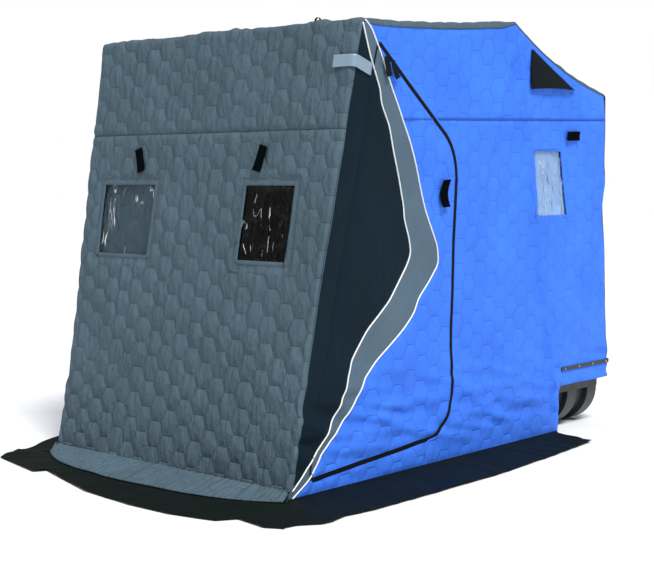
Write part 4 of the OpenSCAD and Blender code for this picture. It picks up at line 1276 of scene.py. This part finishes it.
class HUT_OT_sled(HutStep, bpy.types.Operator):
    """Sled, clamps, brackets and hoops: finishes on the frame's own solids, and rivets along the clamps"""
    bl_idname = "hut.sled"
    bl_label = "Sled and hoops"

    def build(self, s):
        finishes = {"sled_tub": "moulded_polyethylene", "clamp_strips": "extruded_strip",
            "pivot_brackets": "powder_coated_steel", "hoop_corners": "moulded_nylon",
            **{f"{word}_hoop": "zinc_plated_tube" for word in ("ground", "front", "roof", "rear")}}
        for node, name in finishes.items():
            slots = frame["nodes"][node].data.materials
            slots.clear()
            slots.append(make_finish(name, s))
        # Rivets: low domes, a circle's profile turned about its axis.
        angle = np.linspace(0, 2 * math.pi, 13)[None]
        height = np.array([0.0, 0.0, 0.0012, 0.0022, 0.0026])[:, None]
        radius = np.array([0.0004, 0.0060, 0.0056, 0.0034, 0.0004])[:, None]
        index = np.arange(height.size * angle.size).reshape(height.size, angle.size)
        faces = quads(index[:-1, :-1], index[:-1, 1:], index[1:, 1:], index[1:, :-1])
        for side, hand in SIDES.items():
            for k, y in enumerate(np.linspace(SLED_MID_Y + 0.040, SLED_MID_Y + 0.450, 4)):
                points = stacked(side * (half_at(RIM_Z) + 0.0066 + height), y + radius * np.cos(angle),
                    RIM_Z + radius * np.sin(angle))
                fit(new_object(f"{hand}_clamp_rivet_{k}", points.reshape(-1, 3), faces,
                    [make_finish("zinc_plated_tube", s)]), "shell")


class HUT_OT_stage(HutStep, bpy.types.Operator):
    """Floor, light and camera"""
    bl_idname = "hut.stage"
    bl_label = "Stage"

    def build(self, s):
        scene = bpy.context.scene
        world = bpy.data.worlds.new("studio")
        world.use_nodes = True
        # The backdrop looks white, and lights the hut less than it shows, as a lit sweep behind it does.
        back = world.node_tree.nodes["Background"]
        back.inputs["Color"].default_value = (1, 1, 1, 1)
        seen = add(world.node_tree, "LightPath").node.outputs["Is Camera Ray"]
        strength = add(world.node_tree, "MapRange", {"Value": seen, "To Min": 0.32, "To Max": 1.0})
        world.node_tree.links.new(strength, back.inputs["Strength"])
        scene.world = world
        scene.view_settings.view_transform = "Standard"
        # The floor is one large pale square, seen as the studio's white ground.
        v = np.linspace(-40, 40, 9)
        index = np.arange(81).reshape(9, 9)
        faces = quads(index[:-1, :-1], index[1:, :-1], index[1:, 1:], index[:-1, 1:])
        mesh = bpy.data.meshes.new("studio_floor")
        mesh.from_pydata(stacked(v[:, None], v[None], -0.0005).reshape(-1, 3).tolist(), [], faces.tolist())
        mesh.materials.append(make_finish("pale_studio_paper", s))
        floor = bpy.data.objects.new("studio_floor", mesh)
        scene.collection.objects.link(floor)
        for name, place, width, power in (("key_light", (5.2, -2.1, 8.6), 18, 3.6),
                ("fill_light", (-5.0, -5.0, 9.0), 70, 0.35)):
            lamp = bpy.data.lights.new(name, "SUN")
            lamp.angle, lamp.energy = math.radians(width), power
            holder = bpy.data.objects.new(name, lamp)
            way = -np.array(place)
            holder.location = place
            holder.rotation_euler = (math.acos(-way[2] / np.linalg.norm(way)), 0, math.atan2(-way[0], way[1]))
            scene.collection.objects.link(holder)
        lens = bpy.data.cameras.new("viewpoint")
        lens.lens, lens.sensor_width, lens.sensor_fit = 74.49, 36.0, "HORIZONTAL"
        camera = bpy.data.objects.new("viewpoint", lens)
        camera.location = (4.47247, -4.99391, 1.31032)
        camera.rotation_euler = (math.radians(85.1924), 0, math.radians(41.5206))
        scene.collection.objects.link(camera)
        scene.camera = camera


STEPS = (HUT_OT_front, HUT_OT_roof, HUT_OT_sides, HUT_OT_doors, HUT_OT_windows, HUT_OT_trim, HUT_OT_skirt,
    HUT_OT_sled, HUT_OT_stage)


class VIEW3D_PT_ice_hut(bpy.types.Panel):
    """Sidebar list of the hut's building steps"""
    bl_label = "Ice Hut"
    bl_space_type = "VIEW_3D"
    bl_region_type = "UI"
    bl_category = "Ice Hut"

    def draw(self, context):
        for item in HutSettings.__annotations__:
            self.layout.prop(context.scene.ice_hut, item)
        for item in STEPS:
            self.layout.operator(item.bl_idname)


def register():
    for item in (HutSettings, *STEPS, VIEW3D_PT_ice_hut):
        bpy.utils.register_class(item)
    bpy.types.Scene.ice_hut = bpy.props.PointerProperty(type=HutSettings)


def unregister():
    del bpy.types.Scene.ice_hut
    for item in reversed((HutSettings, *STEPS, VIEW3D_PT_ice_hut)):
        bpy.utils.unregister_class(item)


def main():
    register()
    for item in STEPS:
        group, name = item.bl_idname.split(".")
        getattr(getattr(bpy.ops, group), name)()


if __name__ == "__main__":
    main()
